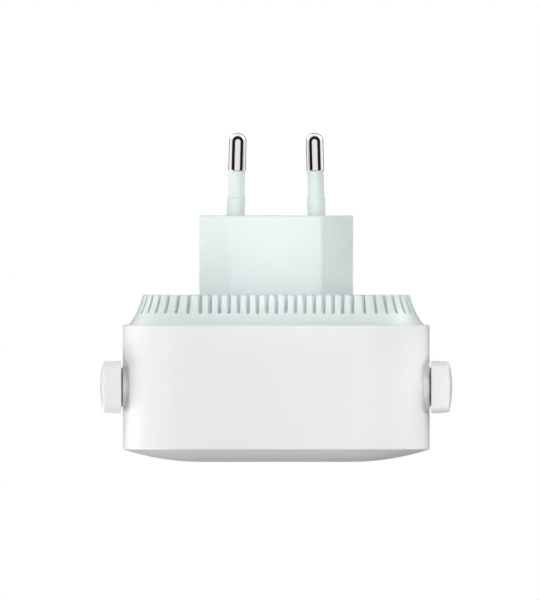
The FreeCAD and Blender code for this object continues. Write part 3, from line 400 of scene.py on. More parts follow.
# %% Finishes by the record's material slots
FINISHES = {
    "case_white": case_white,
    "cover_white": cover_white,
    "sleeve_white": sleeve_white,
    "nickel": nickel,
    "hinge_grey": hinge_grey,
    "board_green": lacquer,
    "tape_yellow": tape,
    "clear_plastic": acrylic,
    "steel": surface(
        "zinc-plated steel, drawn", "#b9bcc0", "#a3a6aa", 0.30, 0.15, 3, metal=1.0, stretch=(1, 0.2, 1)
    ),
    "tinplate": surface(
        "tinned sheet, rolled", "#c9cbcc", "#b4b6b8", 0.33, 0.2, 5, metal=1.0, stretch=(0.15, 1, 1)
    ),
    "brass_pins": surface(
        "brass, lightly gilt", "#d8b768", "#c6a255", 0.24, 0.1, 2, metal=1.0, stretch=(1, 0.3, 1)
    ),
    "can_sleeve": surface("capacitor sleeve, shrunk polyester", "#23272f", "#1b1e25", 0.26, 0.5, 4, 1.57),
    "epoxy_black": surface("chip moulding compound, matt", "#2a2b2d", "#222325", 0.52, 0.12, 2, relief=0.3),
    "resistor_grey": surface(
        "cement coat of the fuse resistor", "#8d9691", "#7f8883", 0.62, 0.3, 3, relief=0.4
    ),
    "ferrite": surface("ferrite, pressed and ground", "#3c3b3d", "#323133", 0.45, 0.25, 3, relief=0.25),
    "ceramic_blue": surface("blue epoxy-dipped ceramic", "#3f78b5", "#356ba6", 0.30, 0.8, 3, relief=0.3),
    "led_yellow": surface("lamp with its yellow phosphor", "#f0dc6a", "#e3c94e", 0.35, 0.2, 1),
    "coax_black": surface("coax jacket, extruded", "#1f2022", "#191a1c", 0.36, 0.15, 2, relief=0.2),
}
slots = {part["node"]: part["material_slot"] for part in frame["record"]["subparts"]}
for name, node in nodes.items():
    if not node.material_slots:
        node.data.materials.append(None)
    for holder in node.material_slots:
        holder.material = FINISHES[slots[name]]
print("finishes:", len(FINISHES), "for", len(nodes), "nodes")

# %% [markdown]
# ## Outlines with rounded corners
#
# Most pieces here are one outline carried round or turned about an axis. This helper takes the outline's
# corners, each with its own radius, and puts true arcs in them. Drawing the rounding into the outline gives
# clean rows of faces, where a bevel put on afterwards would have to guess.


# %% Outline helper
def rounded(corners, steps=5, closed=False):
    """Points of an outline. A corner is (x, y) or (x, y, radius)."""
    out = []
    last = len(corners) - 1
    for i, corner in enumerate(corners):
        here = Vector(corner[:2])
        radius = corner[2] if len(corner) > 2 else 0
        if not radius or (not closed and i in (0, last)):
            out.append(tuple(here))
            continue
        back = (Vector(corners[i - 1][:2]) - here).normalized()
        on = (Vector(corners[(i + 1) % len(corners)][:2]) - here).normalized()
        half = back.angle(on) / 2
        middle = here + (back + on).normalized() * (radius / math.sin(half))
        start = here + back * (radius / math.tan(half)) - middle
        sweep = start.angle_signed(here + on * (radius / math.tan(half)) - middle)
        for k in range(steps + 1):
            out.append(tuple(middle + Matrix.Rotation(-sweep * k / steps, 2) @ start))
    return out


def profile_object(name, points):
    """An outline as a line of vertices: x is how far out, z how deep."""
    return made_of(name, [(x, 0, z) for x, z in points], [(k, k + 1) for k in range(len(points) - 1)])


print("a corner of a square:", len(rounded([(0, 0), (1, 0, 0.5), (1, 1)])), "points")

# %% [markdown]
# ## A tree that carries an outline round
#
# The case, the rear cover, the antennas and the pairing key follow one rule: an outline is carried round a
# rectangle of corner centres. A grid of vertices obeys the rule exactly: each column stands at one station of
# the way round, and each row on one point of the outline. Half the way round is a corner, a straight, a
# second corner and a second straight, and the other half is the same, turned about the middle. A swept curve
# would also do, but it averages directions at the joins, so its middle doesn't close.
#
# An outer face may also be crowned: it then rises from its edges to its middle line, as on the antennas.


# %% Starting a tree
def start_tree(name, **sockets):
    """A new geometry tree, its inputs and a short way to write sums. sockets names the inputs by their kind."""
    tree = bpy.data.node_groups.new(name, "GeometryNodeTree")
    tree.interface.new_socket("Mesh", in_out="OUTPUT", socket_type="NodeSocketGeometry")
    for kind, names in sockets.items():
        for socket in names:
            tree.interface.new_socket(socket, in_out="INPUT", socket_type=f"NodeSocket{kind}")

    def maths(operation, a, b=0.0, c=0.0):
        return add(tree, "ShaderNodeMath", {0: a, 1: b, 2: c}, operation=operation).outputs[0]

    return tree, add(tree, "NodeGroupInput").outputs, maths


def run_tree(thing, tree, **inputs):
    """Runs a tree on an object and gives the plain mesh that comes out."""
    modifier = thing.modifiers.new(tree.name, "NODES")
    modifier.node_group = tree
    for socket in tree.interface.items_tree:
        if socket.in_out == "INPUT" and socket.name in inputs:
            modifier[socket.identifier] = inputs[socket.name]
    ready = thing.evaluated_get(bpy.context.evaluated_depsgraph_get())
    mesh = bpy.data.meshes.new_from_object(ready)
    thing.modifiers.remove(modifier)
    return mesh


print("trees so far:", len(bpy.data.node_groups))


# %% Carry-round tree
MERGE = 1e-6  # joins the lids to the skin


def carry_round_tree():
    tree, given, maths = start_tree(
        "Carry round",
        Geometry=["Outline"],
        Float=["Run X", "Run Y", "Crown", "Crown Above", "Crown Half X", "Crown Half Y"],
        Int=["Corner Steps", "Steps X", "Steps Y"],
        Vector=["Turn", "Place"],
        Material=["Material"],
    )

    def share(value, start, steps):
        """How much of a stretch lies behind a station, from 0 to 1."""
        part = maths("DIVIDE", maths("SUBTRACT", value, start), steps)
        return maths("MINIMUM", maths("MAXIMUM", part, 0.0), 1.0)

    rows = add(tree, "GeometryNodeAttributeDomainSize", {"Geometry": given["Outline"]}).outputs["Point Count"]
    steps = given["Corner Steps"]
    second = maths("ADD", steps, given["Steps X"])
    last = maths("ADD", second, steps)
    half = maths("ADD", last, given["Steps Y"])
    columns = maths("MULTIPLY_ADD", half, 2.0, 1.0)
    grid = add(tree, "GeometryNodeMeshGrid", {"Vertices X": columns, "Vertices Y": rows})
    index = add(tree, "GeometryNodeInputIndex")
    column = maths("FLOOR", maths("DIVIDE", maths("ADD", index, 0.5), rows))
    row = maths("SUBTRACT", index, maths("MULTIPLY", column, rows))
    turned_over = maths("FLOOR", maths("DIVIDE", column, half))
    station = maths("SUBTRACT", column, maths("MULTIPLY", turned_over, half))
    corners = maths("ADD", share(station, 0.0, steps), share(station, second, steps))
    angle = maths("MULTIPLY", maths("MULTIPLY_ADD", turned_over, 2.0, corners), math.pi / 2)
    sign = maths("MULTIPLY_ADD", maths("MODULO", turned_over, 2.0), -2.0, 1.0)
    spot = add(tree, "GeometryNodeInputPosition")
    point = add(
        tree,
        "GeometryNodeSampleIndex",
        {"Geometry": given["Outline"], "Value": spot, "Index": row},
        data_type="FLOAT_VECTOR",
    )
    point = add(tree, "ShaderNodeSeparateXYZ", {0: point}).outputs
    sides = []
    for axis, start, turn in (("X", steps, "COSINE"), ("Y", last, "SINE")):
        along = maths("MULTIPLY_ADD", share(station, start, given[f"Steps {axis}"]), -2.0, 1.0)
        centre = maths("MULTIPLY", maths("MULTIPLY", along, sign), given[f"Run {axis}"])
        sides.append(maths("MULTIPLY_ADD", maths(turn, angle), point["X"], centre))
    spots = add(tree, "ShaderNodeCombineXYZ", {0: sides[0], 1: sides[1], 2: point["Z"]})
    skin = add(tree, "GeometryNodeSetPosition", {"Geometry": grid, "Position": spots})
    skin = add(tree, "GeometryNodeFlipFaces", {0: skin})

    lids = []
    for end in (0, 1):
        end_row = maths("MULTIPLY", maths("SUBTRACT", rows, 1.0), float(end))
        tip = add(
            tree,
            "GeometryNodeSampleIndex",
            {"Geometry": given["Outline"], "Value": spot, "Index": end_row},
            data_type="FLOAT_VECTOR",
        )
        depth = add(tree, "ShaderNodeSeparateXYZ", {0: tip}).outputs["Z"]
        wide, high = (maths("MULTIPLY", given[name], 2.0) for name in ("Run X", "Run Y"))
        counts = [maths("ADD", given[name], 1.0) for name in ("Steps X", "Steps Y")]
        lid = add(
            tree,
            "GeometryNodeMeshGrid",
            {"Size X": wide, "Size Y": high, "Vertices X": counts[0], "Vertices Y": counts[1]},
        )
        lift = add(tree, "ShaderNodeCombineXYZ", {2: depth})
        lid = add(tree, "GeometryNodeTransform", {"Geometry": lid, "Translation": lift})
        if end:
            lid = add(tree, "GeometryNodeFlipFaces", {0: lid})
        lids.append(lid)
    both = add(tree, "GeometryNodeJoinGeometry")
    for part in (skin, *lids):
        feed(tree, both, {0: part})
    closed = add(tree, "GeometryNodeMergeByDistance", {"Geometry": both, "Distance": MERGE})
    here = add(tree, "ShaderNodeSeparateXYZ", {0: spot}).outputs
    flat = maths("SUBTRACT", given["Crown Half Y"], given["Crown Half X"])
    past = maths("MAXIMUM", maths("SUBTRACT", maths("ABSOLUTE", here["Y"]), flat), 0.0)
    falls = [maths("POWER", maths("DIVIDE", out, given["Crown Half X"]), 2.0) for out in (here["X"], past)]
    rise = maths("MULTIPLY", maths("SUBTRACT", 1.0, falls[0]), maths("SUBTRACT", 1.0, falls[1]))
    raised = maths("GREATER_THAN", here["Z"], given["Crown Above"])
    rise = maths("MULTIPLY", maths("MULTIPLY", rise, given["Crown"]), raised)
    lift = add(tree, "ShaderNodeCombineXYZ", {2: rise})
    crowned = add(tree, "GeometryNodeSetPosition", {"Geometry": closed, "Offset": lift})
    moved = add(
        tree,
        "GeometryNodeTransform",
        {"Geometry": crowned, "Rotation": given["Turn"], "Translation": given["Place"]},
    )
    real = add(tree, "GeometryNodeRealizeInstances", {0: moved})
    smooth = add(tree, "GeometryNodeSetShadeSmooth", {0: real})
    finished = add(tree, "GeometryNodeSetMaterial", {0: smooth, "Material": given["Material"]})
    add(tree, "NodeGroupOutput", {0: finished})
    return tree


CARRY_ROUND = carry_round_tree()


def carried(
    name, points, runs, material, turn=(0, 0, 0), place=(0, 0, 0), steps=20, straight=(1, 1), crown=None
):
    """A piece made by carrying an outline round."""
    outline = profile_object(name + " outline", points)
    inputs = {"Run X": runs[0], "Run Y": runs[1], "Corner Steps": steps, "Material": material}
    inputs |= {"Steps X": straight[0], "Steps Y": straight[1], "Turn": turn, "Place": place}
    inputs |= crown or {"Crown": 0.0, "Crown Above": 0.0, "Crown Half X": 1.0, "Crown Half Y": 1.0}
    mesh = run_tree(outline, CARRY_ROUND, **inputs)
    mesh.name = name
    bpy.data.objects.remove(outline)
    return as_object(name, mesh)


print("tree:", CARRY_ROUND.name, "with", len(CARRY_ROUND.nodes), "nodes")


# %% [markdown]
# ## Cutting and finishing
#
# Holes and slots are cut with the Manifold boolean, which needs closed meshes and gives closed meshes.
# Afterwards the large faces decide the shading: without that, a flat wall would shade as if it bulged next to
# each rounded corner.


# %% Cutting
WELD = 2e-7  # points closer than this are one


def carve(thing, tool, operation="DIFFERENCE"):
    """Cuts a tool away from a piece, or joins it on, and removes the tool."""
    cut = thing.modifiers.new("cut", "BOOLEAN")
    cut.solver = "MANIFOLD"
    cut.operation = operation
    cut.object = tool
    ready = thing.evaluated_get(bpy.context.evaluated_depsgraph_get())
    mesh = bpy.data.meshes.new_from_object(ready)
    thing.modifiers.clear()
    thing.data = mesh
    bpy.data.objects.remove(tool)
    shape = bmesh.new()
    shape.from_mesh(mesh)
    bmesh.ops.remove_doubles(shape, verts=shape.verts, dist=WELD)
    bmesh.ops.dissolve_degenerate(shape, edges=shape.edges, dist=WELD)
    shape.to_mesh(mesh)
    shape.free()


def closed_object(name, shape):
    """An object from a closed shape, with its normals turned out."""
    bmesh.ops.recalc_face_normals(shape, faces=shape.faces)
    mesh = bpy.data.meshes.new(name)
    shape.to_mesh(mesh)
    shape.free()
    return as_object(name, mesh)


def turned(name, points, axis, place=(0, 0, 0), steps=48, lean=0.0):
    """A solid turned about an axis. points are (along, out). The ends lie on the axis unless it is a ring."""
    shape = bmesh.new()
    way = Vector(axis)
    across = way.orthogonal().normalized()
    spots = [shape.verts.new(way * along + across * out) for along, out in points]
    ring = points[0][1] > 0 and points[-1][1] > 0
    edges = [shape.edges.new(pair) for pair in zip(spots, spots[1:])]
    if ring:
        edges.append(shape.edges.new((spots[-1], spots[0])))
    bmesh.ops.spin(shape, geom=spots + edges, cent=(0, 0, 0), axis=way, angle=2 * math.pi, steps=steps)
    bmesh.ops.remove_doubles(shape, verts=shape.verts, dist=WELD / 2)
    shape.transform(Matrix.Translation(place) @ Matrix.Rotation(lean, 4, "Z"))
    return closed_object(name, shape)


def rod(name, start, end, radius, axis, place, steps=48, lean=0.0):
    """A plain cylinder along an axis."""
    start, end = sorted((start, end))
    return turned(name, [(start, 0), (start, radius), (end, radius), (end, 0)], axis, place, steps, lean)


def lofted(name, rings):
    """A closed solid through rings of points. Points that fall together are welded."""
    shape = bmesh.new()
    rings = [[shape.verts.new(spot) for spot in ring] for ring in rings]
    for end in (rings[0], rings[-1]):
        shape.faces.new(end)
    for ring, following in zip(rings, rings[1:]):
        for k in range(len(ring)):
            after = (k + 1) % len(ring)
            shape.faces.new((ring[k], ring[after], following[after], following[k]))
    bmesh.ops.remove_doubles(shape, verts=shape.verts, dist=WELD / 2)
    bmesh.ops.dissolve_degenerate(shape, edges=shape.edges, dist=WELD / 2)
    return closed_object(name, shape)


def prism(name, outline, y_low, y_high):
    """An outline in X and Z, made solid between two depths."""
    return lofted(name, [[(x, y, z) for x, z in outline] for y in (y_low, y_high)])


def join(thing, other):
    """Puts another mesh into a piece."""
    shape = bmesh.new()
    shape.from_mesh(thing.data)
    shape.from_mesh(other.data)
    shape.to_mesh(thing.data)
    shape.free()
    bpy.data.objects.remove(other)


print("points closer than", WELD / MM, "mm are one")


# %% Finishing
SHARP = 32  # degrees, from which an edge stays sharp


def finish(thing, material, body, replaced, soften=0.0, sharp=SHARP):
    """Shades a piece, softens its cut edges, ties it to its body and hides the node that it stands for."""
    mesh = thing.data
    mesh.materials.clear()
    mesh.materials.append(material)
    for polygon in mesh.polygons:
        polygon.material_index = 0
        polygon.use_smooth = True
    mesh.set_sharp_from_angle(angle=math.radians(sharp))
    if soften:
        bevel = thing.modifiers.new("soft edges", "BEVEL")
        bevel.width = soften
        bevel.segments = 2
        bevel.angle_limit = math.radians(sharp)
        bevel.miter_outer = "MITER_ARC"
        bevel.harden_normals = True
    weigh = thing.modifiers.new("large faces lead", "WEIGHTED_NORMAL")
    weigh.keep_sharp = True
    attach(thing, body)
    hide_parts(replaced)
    print(f"{thing.name}: {len(mesh.polygons)} faces, rides on {body}")


print("edges over", SHARP, "degrees stay sharp")

# %% [markdown]
# ## Case
#
# The case is one deep cup: four flat walls, wide corners and a shallow dome that falls away only near its
# edge. Its outline starts in the middle of the dome, goes over the edge, down the wall, round the rim and
# back along the inside. The dome is a true arc, so its points come from the circle and not from a list.

# %% Case skin
shell_low, shell_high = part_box("front_shell")
CORNER_CENTRE = 17.1 * MM
CASE_RUNS = (CORNER_CENTRE, CORNER_CENTRE)
CASE_HALF = shell_high.x
CASE_WALL = 2.0 * MM
RIM = -shell_high.y  # depths are measured from the plug's end face
DOME_TOP = -shell_low.y
DOME_RISE = 2.9 * MM
DOME_ROWS = 14
DOME_EDGE_R, RIM_R = 0.3 * MM, 0.4 * MM
FACE_ROOM = (math.radians(90), 0, 0)  # turns depth to point into the room

dome_reach = CASE_HALF - CORNER_CENTRE
dome_radius = (dome_reach**2 + DOME_RISE**2) / (2 * DOME_RISE)


def dome_depth(out, inset=0.0):
    """Depth of the dome, or of the surface inside it, at a distance out from the corner centres."""
    return DOME_TOP - dome_radius + math.sqrt((dome_radius - inset) ** 2 - out**2)


def case_outline():
    edge = dome_reach - DOME_EDGE_R - 0.05 * MM
    inner = dome_reach - CASE_WALL
    steps = [k / DOME_ROWS for k in range(DOME_ROWS + 1)]
    dome = [(edge * t, dome_depth(edge * t)) for t in steps]
    lining = [(inner * t, dome_depth(inner * t, CASE_WALL)) for t in reversed(steps)]
    corner = (dome_reach, DOME_TOP - DOME_RISE, DOME_EDGE_R)
    return rounded([*dome, corner, (dome_reach, RIM, RIM_R), (inner, RIM), *lining])


case = carried("case", case_outline(), CASE_RUNS, case_white, FACE_ROOM, steps=28)
print("case skin:", len(case.data.polygons), "faces")

# %% Hinge bosses and bores
HINGE = Vector(frame["joints"][0]["pos_m"])
HINGE_AT = (0, HINGE.y, HINGE.z)
BOSS_R, BORE_R = 5.75 * MM, 3.58 * MM
SEAT = 30.35 * MM  # inner end of each hinge boss
for side in (-1, 1):
    boss = rod("boss", side * SEAT, side * (CASE_HALF - 0.02 * MM), BOSS_R, (1, 0, 0), HINGE_AT, 96)
    carve(case, boss, "UNION")
for side in (-1, 1):
    carve(case, rod("bore", side * (SEAT - MM), side * (CASE_HALF + MM), BORE_R, (1, 0, 0), HINGE_AT, 64))
print("hinges at", [round(v / MM, 2) for v in HINGE_AT], "mm")

# %% Openings for the light pipe and the key
pipe_low, pipe_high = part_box("light_pipe")
PIPE_AT = (0, 0, (pipe_low.z + pipe_high.z) / 2)
PIPE_HOLE_R = 1.05 * MM
carve(case, rod("pipe hole", -60 * MM, -50 * MM, PIPE_HOLE_R, (0, 1, 0), PIPE_AT, 32))

key_low, key_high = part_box("pairing_button")
KEY_AT = (0, (key_low.y + key_high.y) / 2, 0)
KEY_W, KEY_D = 9.0 * MM, 3.4 * MM
KEY_FIT = 0.15 * MM
KEY_RUNS = ((KEY_W - KEY_D) / 2, 0)

slot_out, slot_low, slot_high = KEY_D / 2 + KEY_FIT, CASE_HALF - 4 * MM, CASE_HALF + 2 * MM
key_slot = [(0, slot_high), (slot_out, slot_high), (slot_out, slot_low), (0, slot_low)]
carve(case, carried("key slot", key_slot, KEY_RUNS, case_white, place=KEY_AT, steps=12))
finish(case, case_white, "housing", "front_shell", soften=0.12 * MM)

# %% [markdown]
# ## Rear cover
#
# Behind the case the cover pulls in along a slightly hollow side, and its back plate closes the product
# towards the wall. The same tree carries its outline round. The hollow is an arc that sags less than half a
# millimetre.

# %% Rear cover skin
cover_low, cover_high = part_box("rear_cover")
RING_RIM = cover_high.x
RING_BACK = 30.8 * MM
RING_SAG = 0.45 * MM
BACK = -cover_high.y
PLATE = 2.0 * MM
RING_WALL = 2.0 * MM
SKIRT, SKIRT_WALL = 3.0 * MM, 1.3 * MM
SNUG = 0.05 * MM  # between two pieces that fit into each other


def ring_side(inset=0.0, rows=10):
    """Points down the hollow side, from the back to the rim, moved in by inset."""
    run = Vector((RING_RIM - RING_BACK, RIM - BACK))
    hollow = Vector((-run.y, run.x)).normalized() * RING_SAG
    points = []
    for k in range(rows + 1):
        t = k / rows
        spot = Vector((RING_BACK - inset, BACK)) + run * t + hollow * 4 * t * (1 - t)
        points.append((spot.x - CORNER_CENTRE, spot.y))
    return points


def cover_outline():
    outer_skirt = CASE_HALF - CASE_WALL - SNUG - CORNER_CENTRE
    inner_skirt = outer_skirt - SKIRT_WALL
    inside = RING_BACK - RING_WALL - CORNER_CENTRE
    side = ring_side()
    back_corner = (*side[0], 0.5 * MM)
    return rounded(
        [
            (0, BACK + PLATE),
            (inside, BACK + PLATE),
            (inner_skirt, RIM),
            (inner_skirt, RIM + SKIRT),
            (outer_skirt, RIM + SKIRT),
            (outer_skirt, RIM),
            *side[:0:-1],
            back_corner,
            (0, BACK),
        ]
    )


cover = carried("rear_cover_ring", cover_outline(), CASE_RUNS, cover_white, FACE_ROOM, steps=28)
print("cover: back at", round(BACK / MM, 2), "mm, rim at", round(RIM / MM, 2), "mm")

# %% [markdown]
# ## Vent slots
#
# Warm air leaves through 96 slots round the back edge. Each one is a groove down the hollow side with a round
# foot, and a slit through the plate behind it. A spaced row of equal things is work for Geometry Nodes: the
# tree walks a rounded square, stops at even distances, sets a cutting tool at each stop and cuts them all in
# one go. Placing 96 tools by hand, or an Array, could not turn the corners evenly.

# %% Vent cutting tools
SLOT_W = 1.0 * MM
SLOT_FOOT_W = 0.86 * MM
SLOT_LENGTH = 4.35 * MM
SLOT_DEPTH = 1.4 * MM
SLIT_INNER, SLIT_OUTER = 4.4 * MM, 2.2 * MM  # inside the back edge
CHANNEL_DEPTH = 0.35 * MM
SLOT_LINE_INSET = 2.17 * MM
SLOT_COUNT = 96


def groove_tool():
    """Down the side: the floor follows the hollow, the width tapers, and the foot is a half circle."""
    foot_r = SLOT_FOOT_W / 2
    straight = SLOT_LENGTH - foot_r
    side = ring_side(SLOT_DEPTH, 40)
    outer = RING_RIM - CORNER_CENTRE + MM

    def floor_at(depth):
        return min(side, key=lambda p: abs(p[1] - depth))[0]

    rows = [(SLOT_W / 2 + 0.01 * MM, side[0][0], outer, BACK - MM)]  # half width, inner, outer and depth
    for k in range(5):
        t = k / 4
        half = SLOT_W / 2 + (foot_r - SLOT_W / 2) * t
        depth = BACK + straight * t
        rows.append((half, floor_at(depth), outer, depth))
    for k in range(1, 6):
        a = k / 6 * math.pi / 2
        depth = BACK + straight + foot_r * math.sin(a)
        rows.append((foot_r * math.cos(a), floor_at(depth), outer, depth))
    depth = BACK + SLOT_LENGTH
    rows.append((0.01 * MM, floor_at(depth), outer, depth))
    return lofted("groove tool", [[(i, -w, z), (o, -w, z), (o, w, z), (i, w, z)] for w, i, o, z in rows])


def slit_tool():
    """The slit through the plate and the shallow channel from it to the groove, as one L-shaped bar."""
    edge = RING_BACK - CORNER_CENTRE
    inner, outer = edge - SLIT_INNER, edge - SLIT_OUTER
    far, floor_depth, through = edge + MM, BACK + CHANNEL_DEPTH, BACK + PLATE + MM
    corners = [(inner, BACK - MM), (far, BACK - MM), (far, floor_depth), (outer, floor_depth)]
    corners += [(outer, through), (inner, through)]
    return prism("slit tool", corners, -SLOT_W / 2, SLOT_W / 2)


groove = groove_tool()
slit = slit_tool()
print("tools:", len(groove.data.polygons), "and", len(slit.data.polygons), "faces")


# %% Vent tree
def vent_tree():
    tree, given, maths = start_tree(
        "Cut a row of vents",
        Geometry=["Skin"],
        Int=["Count"],
        Float=["Run", "Corner Radius"],
        Object=["Groove", "Slit"],
        Vector=["Turn"],
        Material=["Material"],
    )
    # How far along the way each stop is, counted from the middle of one side.
    arc = maths("MULTIPLY", given["Corner Radius"], math.pi / 2)
    quarter = maths("MULTIPLY_ADD", given["Run"], 2.0, arc)
    index = add(tree, "GeometryNodeInputIndex")
    along = maths("MULTIPLY", maths("DIVIDE", index, given["Count"]), maths("MULTIPLY", quarter, 4.0))
    turns = maths("FLOOR", maths("DIVIDE", along, quarter))
    along = maths("SUBTRACT", along, maths("MULTIPLY", turns, quarter))
    past = maths("SUBTRACT", along, given["Run"])
    bent = maths("MINIMUM", maths("MAXIMUM", past, 0.0), arc)
    angle = maths("DIVIDE", bent, given["Corner Radius"])
    up = maths("MINIMUM", along, given["Run"])
    back = maths("MAXIMUM", maths("SUBTRACT", past, arc), 0.0)
    # The stop's corner centre, moved along the side that the stop is on.
    anchor = add(tree, "ShaderNodeCombineXYZ", {0: maths("SUBTRACT", given["Run"], back), 1: up})
    whole_turn = add(tree, "ShaderNodeCombineXYZ", {2: maths("MULTIPLY", turns, math.pi / 2)})
    anchor = add(
        tree,
        "ShaderNodeVectorRotate",
        {"Vector": anchor, "Rotation": whole_turn},
        rotation_type="EULER_XYZ",
    )
    heading = add(tree, "ShaderNodeCombineXYZ", {2: maths("MULTIPLY_ADD", turns, math.pi / 2, angle)})
    line = add(tree, "GeometryNodeMeshLine", {"Count": given["Count"]})
    stops = add(tree, "GeometryNodeSetPosition", {"Geometry": line, "Position": anchor})
    cut = given["Skin"]
    for name in ("Groove", "Slit"):
        tool = add(tree, "GeometryNodeObjectInfo", {"Object": given[name]})
        row = add(
            tree,
            "GeometryNodeInstanceOnPoints",
            {"Points": stops, "Instance": tool.outputs["Geometry"], "Rotation": heading},
        )
        turned_row = add(tree, "GeometryNodeTransform", {"Geometry": row, "Rotation": given["Turn"]})
        real = add(tree, "GeometryNodeRealizeInstances", {0: turned_row})
        pair = {"Mesh 1": cut, "Mesh 2": real}
        cut = add(tree, "GeometryNodeMeshBoolean", pair, operation="DIFFERENCE", solver="MANIFOLD")
    real = add(tree, "GeometryNodeRealizeInstances", {0: cut})
    finished = add(tree, "GeometryNodeSetMaterial", {0: real, "Material": given["Material"]})
    add(tree, "NodeGroupOutput", {0: finished})
    return tree


print("tree for the vents is ready")

# %% Block outline and vented cover
BLOCK_HALF = 17.7 * MM
BLOCK_H = 6.85 * MM
BLOCK_FLAT = 10.35 * MM  # half the width of its level faces
BLOCK_BLUNT = 1.7 * MM  # half the height of its blunted ends


def block_corners(grow=0.0, long_r=1.8 * MM, blunt_r=0.8 * MM):
    """The flat hexagon. grow moves its long sides out, and the corners between them by about as much."""
    a, b, f, s = BLOCK_HALF + grow, BLOCK_H + grow, BLOCK_FLAT + grow * 0.6, BLOCK_BLUNT + grow * 0.6
    half = [(f, -b, long_r), (a, -s, blunt_r), (a, s, blunt_r), (f, b, long_r)]
    return rounded(half + [(-x, -y, r) for x, y, r in half], 6, closed=True)


line_radius = RING_BACK - SLOT_LINE_INSET - CORNER_CENTRE
cover.data = run_tree(
    cover,
    vent_tree(),
    **{
        "Count": SLOT_COUNT,
        "Run": CORNER_CENTRE,
        "Corner Radius": line_radius,
        "Groove": groove,
        "Slit": slit,
        "Turn": FACE_ROOM,
        "Material": cover_white,
    },
)
bpy.data.objects.remove(groove)
bpy.data.objects.remove(slit)
carve(cover, prism("window", block_corners(SNUG), -BACK - PLATE - MM, -BACK + MM))
finish(cover, cover_white, "housing", "rear_cover", soften=0.06 * MM)

# %% [markdown]
# ## Plug block
#
# The plug body is a flat hexagon with blunted ends, so that it slips into a recessed socket. It is a prism of
# one rounded outline. Its front edge gets a small bevel, because that edge catches a bright line.

# %% Plug block
PIN_BASE = 9.3 * MM
PIN_LEAN = math.atan(0.5 / 19)
WELL_R, WELL_DEPTH = 2.1 * MM, 1.0 * MM
FLANGE_GROW = 2.0 * MM
FRONT_BEVEL = 0.4 * MM
block_low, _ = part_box("plug_block")
block = prism("plug_body", block_corners(), -BACK - PLATE, 0.0)
shape = bmesh.new()
shape.from_mesh(block.data)
front = [e for e in shape.edges if all(abs(v.co.y) < WELD / 2 for v in e.verts)]
bmesh.ops.bevel(shape, geom=front, offset=FRONT_BEVEL, segments=4, profile=0.5, affect="EDGES")
shape.to_mesh(block.data)
shape.free()
carve(block, prism("flange", block_corners(FLANGE_GROW), block_low.y, -BACK - PLATE), "UNION")
for side in (-1, 1):
    root = (side * PIN_BASE, 0, 0)
    carve(block, rod("well", -WELL_DEPTH, 2 * MM, WELL_R, (0, 1, 0), root, lean=side * PIN_LEAN))
finish(block, cover_white, "housing", "plug_block")

# %% [markdown]
# ## Pins and sleeves
#
# Each pin is turned metal with a ball end. The sleeve on it is white plastic with a thicker collar at its
# root. Both are outlines turned about the pin's axis, which leans in a degree and a half towards the other
# pin.

# %% Pins and sleeves
PIN_R, CORE_R = 2.0 * MM, 1.4 * MM
BARE = 10.2 * MM  # the metal is bare from here to the tip
PIN_TIP = 19.0 * MM
TAIL_R, STOP_R = 1.25 * MM, 2.6 * MM  # inside the block: the thinner tail, and the stop that holds the pin
STOP, TAIL_END = (-4 * MM, -3 * MM), -0.9 * MM
pin_low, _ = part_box("pin_right")
quarter = [k * math.pi / 24 for k in range(13)]
ball = [(PIN_TIP - PIN_R + PIN_R * math.sin(a), PIN_R * math.cos(a)) for a in quarter]
ball[-1] = (PIN_TIP, 0)
neck = rounded([(BARE, CORE_R), (BARE, PIN_R, 0.25 * MM), (PIN_TIP - PIN_R, PIN_R)], 4)
bare_pin = [(-WELL_DEPTH, 0), (-WELL_DEPTH, CORE_R), *neck[:-1], *ball]
tail = [(pin_low.y, 0), (pin_low.y, TAIL_R), (STOP[0], TAIL_R), (STOP[0], STOP_R), (STOP[1], STOP_R)]
tail += [(STOP[1], TAIL_R), (TAIL_END, TAIL_R), (TAIL_END, 0)]
SLEEVE_R, COLLAR_R, SLEEVE_BORE_R = 1.85 * MM, 2.05 * MM, 1.425 * MM
COLLAR_TOP = 4.2 * MM
sleeve_outline = [
    (-WELL_DEPTH, SLEEVE_BORE_R),
    (-WELL_DEPTH, COLLAR_R),
    (COLLAR_TOP - 0.15 * MM, COLLAR_R, 0.12 * MM),
    (COLLAR_TOP, SLEEVE_R + 0.02 * MM, 0.08 * MM),
    (BARE, SLEEVE_R, 0.1 * MM),
    (BARE, SLEEVE_BORE_R),
]
for word, side in (("left", -1), ("right", 1)):
    root, lean = (side * PIN_BASE, 0, 0), side * PIN_LEAN
    pin = turned(f"plug_pin_{word}", bare_pin, (0, 1, 0), root, 64, lean)
    join(pin, turned("tail", tail, (0, 1, 0), root))
    finish(pin, nickel, "housing", f"pin_{word}", sharp=50)
    sleeve = turned(f"sleeve_{word}", rounded(sleeve_outline, 3), (0, 1, 0), root, 64, lean)
    finish(sleeve, sleeve_white, "housing", f"pin_sleeve_{word}", sharp=40)

# %% [markdown]
# ## Antennas
#
# Each antenna is a hollow paddle with rounded corners: a shell with a crowned outer face, and a flat lid on
# the side towards the case. The carry-round tree makes both. The crown needs vertices along the straights
# too, so here they have steps of their own.

# %% Antennas
ant_low, ant_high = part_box("antenna_case_right")
ANT_HALF = Vector((6.05 * MM, (ant_high.z - ant_low.z) / 2))
ANT_CORNER = 2.0 * MM
ANT_IN = ant_low.x
ANT_CROWN = 0.8 * MM
ANT_EDGE = ant_high.x - ANT_CROWN
ANT_DRAFT = 0.23 * MM
ANT_WALL, ANT_ROOF, ANT_LID = 1.2 * MM, 1.15 * MM, 1.0 * MM
LID_HOLE_R = 3.55 * MM
ANT_MIDDLE = (0, HINGE.y, (ant_high.z + ant_low.z) / 2)


